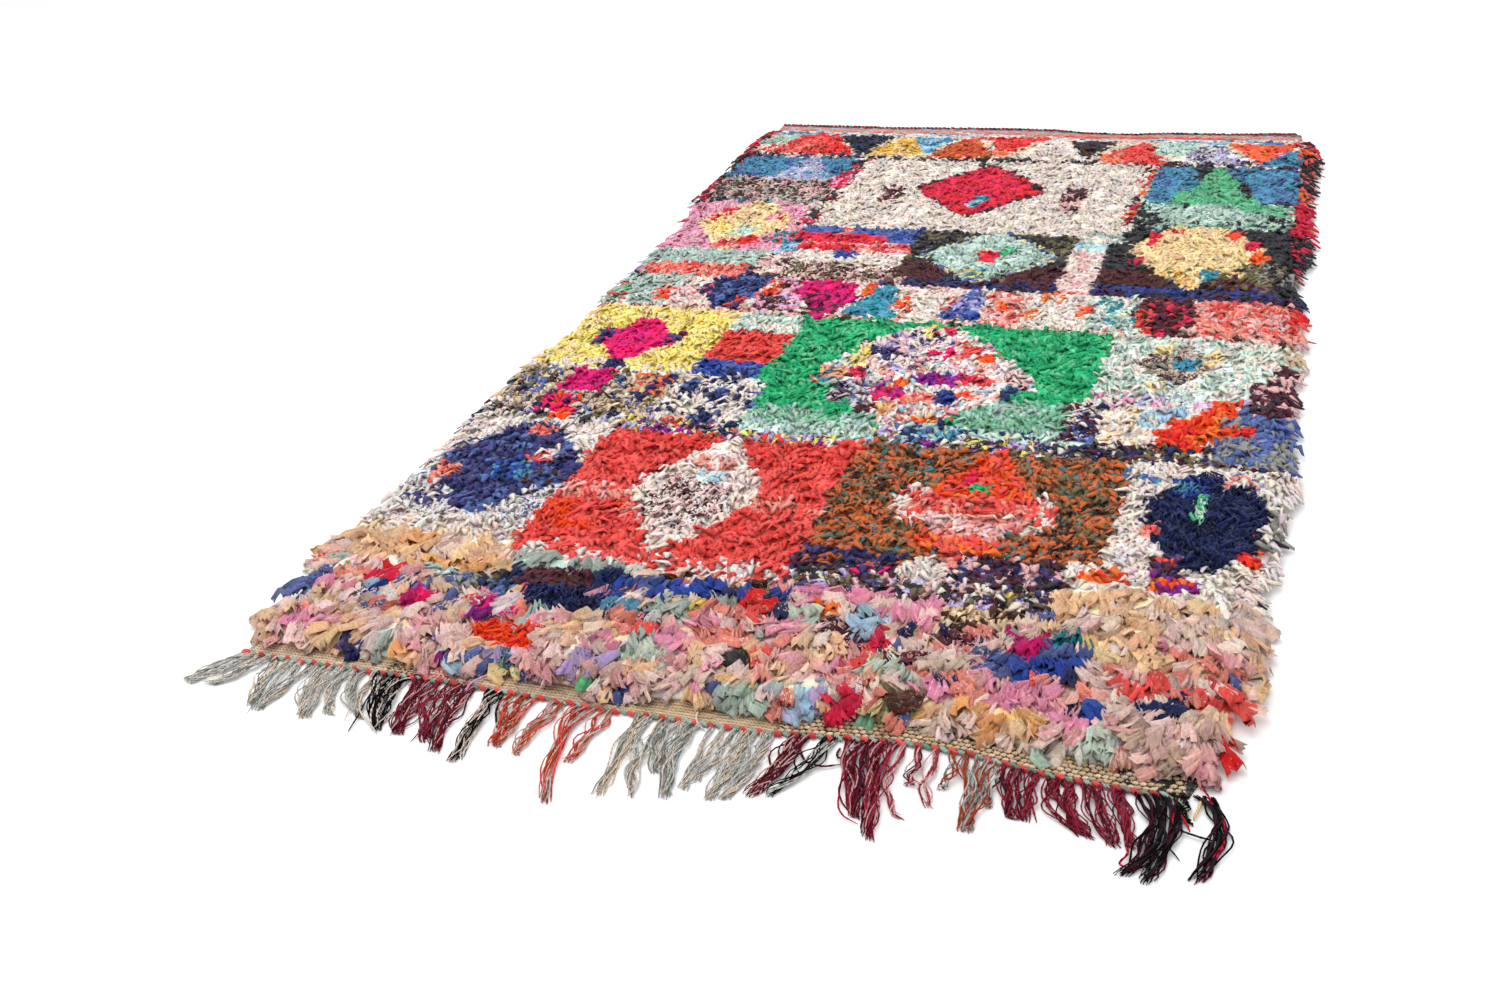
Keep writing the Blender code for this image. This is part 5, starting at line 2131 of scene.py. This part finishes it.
FRINGES = (
    fringe("fringe_grey_left", "grey_wool", "silver bone silver grey silver tan silver", """
-69.3 -67.3 3 -70.8 -4.2 -74.3 -72.6 -8.6
-66.9 -64.8 2 -67 -5 -70.6 -68.8 -8
-63.6 -61.4 2 -62.2 -5.5 -61.2 -60.3 -11.2
-60.8 -57.6 3 -58.6 -5.5 -59.8 -58.4 -12
-56.6 -52.6 4 -53.2 -6 -52.8 -50.2 -11.9
-52.2 -50.6 2 -50.4 -6.2 -48.8 -47.3 -10.4
-50.2 -47 3 -46.8 -6 -44.2 -42.8 -10
teal grey 0.1 -63 -0.5, -61.5 -4, -60.5 -8, -60 -12.6
tan beige 0.1 -56 -0.5, -54 -4, -51 -8, -52 -12.4
tan beige 0.1 -50 -0.5, -48.5 -4, -46 -7, -45.2 -11
"""),
    fringe("fringe_black_left", "black_wool", "black charcoal black black cream", """
-46.4 -41 5 -42.6 -5.6 -40.8 -38.6 -12.1
cream bone 0.16 -46 -0.6, -45 -4, -43.5 -6, -41.6 -4.5, -41 -1.2
cream bone 0.16 -47 -0.6, -46 -5, -44 -9, -41 -11, -39 -12.5
black charcoal 0.14 -45 -0.5, -44.5 -6, -43.5 -10, -43.3 -13
"""),
    fringe("fringe_burgundy_left", "burgundy_wool", "burgundy garnet plum burgundy rose", """
-40.2 -36.8 4 -37.4 -6.4 -37.2 -35.2 -12
-36.4 -33.2 3 -34 -6 -32.6 -31.2 -12.8
-32.8 -30.6 3 -30.9 -6.5 -30.2 -28.2 -14.2
cream pink 0.12 -41 -0.6, -38.5 -4, -34 -6.5, -32 -9
pink cream 0.12 -33 -0.6, -36 -4, -38 -8, -37 -12.5
cream rose 0.12 -36.5 -0.6, -33.5 -3.5, -31 -5.5, -30 -10
lilac pink 0.22 -29 4, -30.2 2, -31.4 0, -32 -3
burgundy plum 0.13 -39.5 -0.6, -36 -5, -33 -9, -33.5 -13
burgundy rose 0.13 -31 -0.6, -35 -4, -39 -7.5, -39.6 -11
"""),
    fringe("fringe_black_white", "black_white_wool", "black black cream black", """
-28.6 -26.4 3 -26.9 -7 -26.6 -24.9 -15.9
"""),
    fringe("fringe_orange", "orange_wool", "terracotta salmon coral terracotta silver rust", """
-25 -20.6 4 -22.4 -6.2 -22.5 -21.2 -11.2
-18.2 -16.6 2 -18.3 -7 -18.6 -17.6 -12.6
-14.6 -11.8 3 -13.4 -8.5 -11.2 -9.4 -20.4
-10.8 -9.4 2 -10.1 -6 -11.3 -10.4 -12.6
charcoal black 0.16 -26 -0.8, -25.4 -2.8, -25 -4.5, -23.3 -7.5
grey silver 0.12 -23 -0.6, -23.6 -4, -21.8 -8, -21.3 -11.6
grey silver 0.12 -12.6 -0.6, -13.4 -6, -12.3 -13, -10.4 -19.6
"""),
    fringe("fringe_grey_middle", "grey_wool", "silver bone silver grey silver tan silver", """
-5.6 -4 2 -4.4 -8.5 -4.6 -3.6 -17.5
-3.6 -1.9 2 -2.3 -8.5 -0.6 0.4 -16.6
-1 0.6 2 0 -6 1 1.9 -11.4
1.2 3.6 3 2.6 -7.5 3.8 5 -15.7
5.2 7 2 5.9 -7 5.5 6.4 -13.5
8.2 8.9 1 8.2 -6.5 7 7.6 -11.6
9.3 11.4 3 10.3 -7 9.3 10.4 -14.6
12.2 13.6 3 13.2 -6.5 10.9 12.4 -14.2
tan beige 0.11 -5 -0.6, -4 -6, -4.6 -12, -4 -17.8
teal grey 0.1 2 -0.6, 3 -5, 3.6 -10, 4.8 -15.8
tan khaki 0.11 10 -0.6, 10.8 -5, 10 -10, 9.6 -14.8
cream bone 0.17 2.3 2, 2.6 0.6, 3 -0.5, 4.5 -1.5
"""),
    fringe("fringe_burgundy_loop", "burgundy_wool", "burgundy burgundy plum rose", """
16.4 18.2 3 16.4 -6.2 13.9 15.2 -12.8
burgundy plum 0.17 18 -1, 18 -2.5, 19.5 -5, 22 -5.4, 24 -4
burgundy rose 0.13 17 -0.6, 16 -4, 17 -8, 15.6 -12.4
"""),
    fringe("fringe_black_middle", "black_white_wool", "black black silver charcoal", """
20.6 22.2 2 19.9 -6.2 16.1 17.4 -12.4
"""),
    fringe("fringe_burgundy_middle", "burgundy_wool", "burgundy garnet plum garnet rose", """
23.4 26.4 4 25.9 -5.5 28 29.4 -13.9
26.8 30 5 28.7 -6 30.2 31.9 -16.9
30.4 31.3 1 31.4 -7.6 33.6 34.4 -12.6
32.2 33.2 1 33.9 -3.4 32.7 33.6 -6.2
34.6 35.6 1 35.6 -5.2 36.2 37.3 -9.7
burgundy plum 0.16 23 -1, 23 -2.4, 23.5 -3.4, 24.6 -2.6, 24.8 -1
burgundy crimson 0.12 24.3 -2, 25 -7, 26 -12.3, 27.4 -13.9, 29.2 -14.3
crimson burgundy 0.12 27 -0.6, 29.6 -6, 30 -12, 32 -17
"""),
    fringe("fringe_grey_orange", "grey_orange_wool", "silver grey terracotta silver", """
36.8 37.5 1 37.8 -2.6 36.9 37.5 -6.3
38.9 41.6 3 41.4 -6 41 42.5 -12.9
42.5 43.2 1 43.1 -4 43.6 44.1 -7.8
orange salmon 0.15 38.6 -0.6, 40.2 -4, 41.4 -8, 41 -12.6
black charcoal 0.13 43.3 -0.8, 44.3 -2.8, 43.3 -4.6, 43.9 -7.8
"""),
    fringe("fringe_crimson", "crimson_wool", "garnet burgundy garnet plum garnet", """
44 48.4 5 46.6 -4.8 45.8 49 -9.1
49.6 53 4 52.2 -5.6 55 56.8 -10.4
53.6 56 3 56.4 -5.6 58.7 59.8 -11.1
56.6 58.6 3 59 -5 60.4 61.6 -10.8
crimson burgundy 0.13 48.6 -1, 48.2 -5, 49.8 -9
crimson burgundy 0.16 60.4 -10.4, 61 -12, 60 -14, 60.8 -14.4, 63 -13.7
pink rose 0.1 55 -0.6, 57 -5, 58.8 -8, 59.4 -11.4
"""),
    fringe("fringe_black_right", "black_wool", "black black charcoal plum", """
60 62.2 3 63.3 -8 60 61.3 -16
62.8 64.8 3 65.2 -8 62.6 63.9 -16.5
65.3 66.3 1 66.6 -3 66.7 67.6 -5.4
67.2 69.2 3 70.7 -6 68 69.4 -14.6
black charcoal 0.17 65.5 -6.2, 67 -7, 68.6 -7.4, 70 -7.3
black charcoal 0.12 63.6 -8.5, 64.8 -9.6, 66.6 -11.5
leaf khaki 0.15 64 -0.6, 65.4 -1.4, 66.6 -3, 66.8 -4.4
crimson red 0.15 65 -3, 66.2 -4.4, 67.2 -6.3
crimson red 0.13 65 -3, 65.2 -6, 64.9 -9
khaki tan 0.2 67.9 -0.6, 67.8 -2.4, 67.4 -4.2
crimson burgundy 0.16 68.6 -1, 71 -4, 71.2 -8, 69.4 -14.4
crimson burgundy 0.14 67 3.3, 68.5 0, 70.7 -3.4, 71.3 -7, 68.6 -15
"""),
)


@dataclass
class EndKnob:
    """A knob of yarn wound round an end of the twined cord."""
    name: str
    slot: str
    place: tuple
    size: tuple
    dye: str
    finish: Finish

    def build(self) -> bpy.types.Object:
        """Wind the knob: a ball with grooves, squashed and set in its place.

        Returns:
            The knob.
        """
        bpy.ops.object.select_all(action="DESELECT")
        bpy.ops.mesh.primitive_uv_sphere_add(segments=18, ring_count=10, radius=0.5,
                                             location=(0, 0, 0))
        piece = bpy.context.object
        piece.name = self.name
        bpy.ops.object.mode_set(mode="EDIT")
        bpy.ops.mesh.select_all(action="SELECT")
        bpy.ops.transform.resize(value=tuple(side * CM for side in self.size))
        middle = metres(np.array(self.place))
        bpy.ops.transform.translate(value=tuple(float(part) for part in middle))
        bpy.ops.object.mode_set(mode="OBJECT")
        points = np.array([vertex.co[:] for vertex in piece.data.vertices])
        turn = np.arctan2(points[:, 2] - middle[2], points[:, 0] - middle[0])
        groove = 1 + 0.07 * np.sin(turn * 5 + (points[:, 1] - middle[1]) * 900)
        points = middle + (points - middle) * groove[:, None]
        piece.data.vertices.foreach_set("co", points.ravel())
        piece.data.uv_layers[0].name = "strip"
        tone = np.tile(linear(self.dye), (len(points), 1))
        paint(piece, "dye", tone, np.ones(len(points)))
        paint(piece, "fleck", tone * 0.8, np.full(len(points), 0.5))
        bpy.ops.object.shade_smooth()
        self.finish.dress(piece)
        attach(piece, BODY)
        return piece


@dataclass
class Studio:
    """A plain pale floor, soft light, and the camera at the photograph's angle."""
    floor_side: float = 40.0
    lens: float = 38.16
    place: tuple = (0.7605, -2.7685, 1.2867)
    turn: tuple = (60.661, 4.772, 19.433)
    sensor: float = 36.0
    fill: float = 1.02

    def floor(self) -> bpy.types.Object:
        """Lay the floor.

        Returns:
            The floor.
        """
        bpy.ops.object.select_all(action="DESELECT")
        bpy.ops.mesh.primitive_plane_add(size=self.floor_side, location=(0, 0, 0))
        floor = bpy.context.object
        floor.name = "studio_floor"
        paper = bpy.data.materials.new("studio_paper")
        paper.use_nodes = True
        board = NodeBoard(paper.node_tree)
        out = board.add("ShaderNodeOutputMaterial")
        matt = board.add("ShaderNodeBsdfPrincipled")
        matt.inputs["Specular IOR Level"].default_value = 0.1
        place = board.add("ShaderNodeTexCoord").outputs["Object"]
        grain = board.noise(place, 4.0)
        tone = board.blend(grain, (0.90, 0.90, 0.90), (0.93, 0.93, 0.93))
        board.join(tone, matt.inputs["Base Color"])
        board.join(board.math("ADD", board.math("MULTIPLY", grain, 0.1), 0.85),
                   matt.inputs["Roughness"])
        board.join(matt.outputs[0], out.inputs[0])
        floor.data.materials.append(paper)
        return floor

    def lights(self) -> None:
        """Hang a wide soft lamp over a white surround."""
        world = bpy.data.worlds.new("white_surround")
        world.use_nodes = True
        sky = world.node_tree.nodes["Background"]
        sky.inputs[0].default_value = (1, 1, 1, 1)
        sky.inputs[1].default_value = self.fill
        bpy.context.scene.world = world
        for name, power, size, place, turn in (
                ("key_lamp", 58.0, 3.2, (-0.9, -0.9, 3.4), (0.35, -0.25, 0.0)),
                ("back_lamp", 38.0, 2.8, (-1.0, 2.2, 3.0), (-0.3, -0.35, 0.0))):
            lamp = bpy.data.lights.new(name, "AREA")
            lamp.energy = power
            lamp.size = size
            hung = bpy.data.objects.new(name, lamp)
            hung.location = place
            hung.rotation_euler = turn
            bpy.context.collection.objects.link(hung)

    def camera(self) -> None:
        """Stand the camera where the photograph was taken from."""
        lens = bpy.data.cameras.new("photo_camera")
        lens.lens = self.lens
        lens.sensor_width = self.sensor
        lens.sensor_fit = "HORIZONTAL"
        camera = bpy.data.objects.new("photo_camera", lens)
        camera.location = self.place
        camera.rotation_euler = tuple(math.radians(part) for part in self.turn)
        bpy.context.collection.objects.link(camera)
        bpy.context.scene.camera = camera
        bpy.context.scene.view_settings.view_transform = "Standard"


def main() -> None:
    """Build the rug class by class, then the studio round it."""
    logging.basicConfig(level=logging.INFO, format="%(name)s %(message)s")
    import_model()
    studio = Studio()
    studio.camera()
    floor = studio.floor()
    studio.lights()
    ground = WovenGround()
    cloth = ground.build()
    log.info("%s: %d faces", cloth.name, len(cloth.data.polygons))
    on_cloth = KnotField(PatternReader(PATTERN)).build()
    on_cloth.append(TwinedCord("front_twined_cord", "front_cord_yarn", FRONT_EDGE, -68.6, 64.4,
                               ("coral coral brick", "sage fern grey sage"),
                               FRONT_CORD_FINISH).build())
    on_cloth.append(TwinedCord("back_twined_cord", "back_cord_yarn", BACK_EDGE, -72.2, 65.2,
                               ("brick plum crimson", "olive charcoal fern"),
                               BACK_CORD_FINISH, seed=43).build())
    on_cloth.append(BandBumps().build())
    on_cloth.append(EndKnob("cord_end_knob", "front_cord_yarn", (-69.0, 0.1, 0.5),
                            (1.5, 1.1, 0.9), "coral", FRONT_CORD_FINISH).build())
    on_cloth += [fringe.build() for fringe in FRINGES]
    ground.declare()


if __name__ == "__main__":
    main()
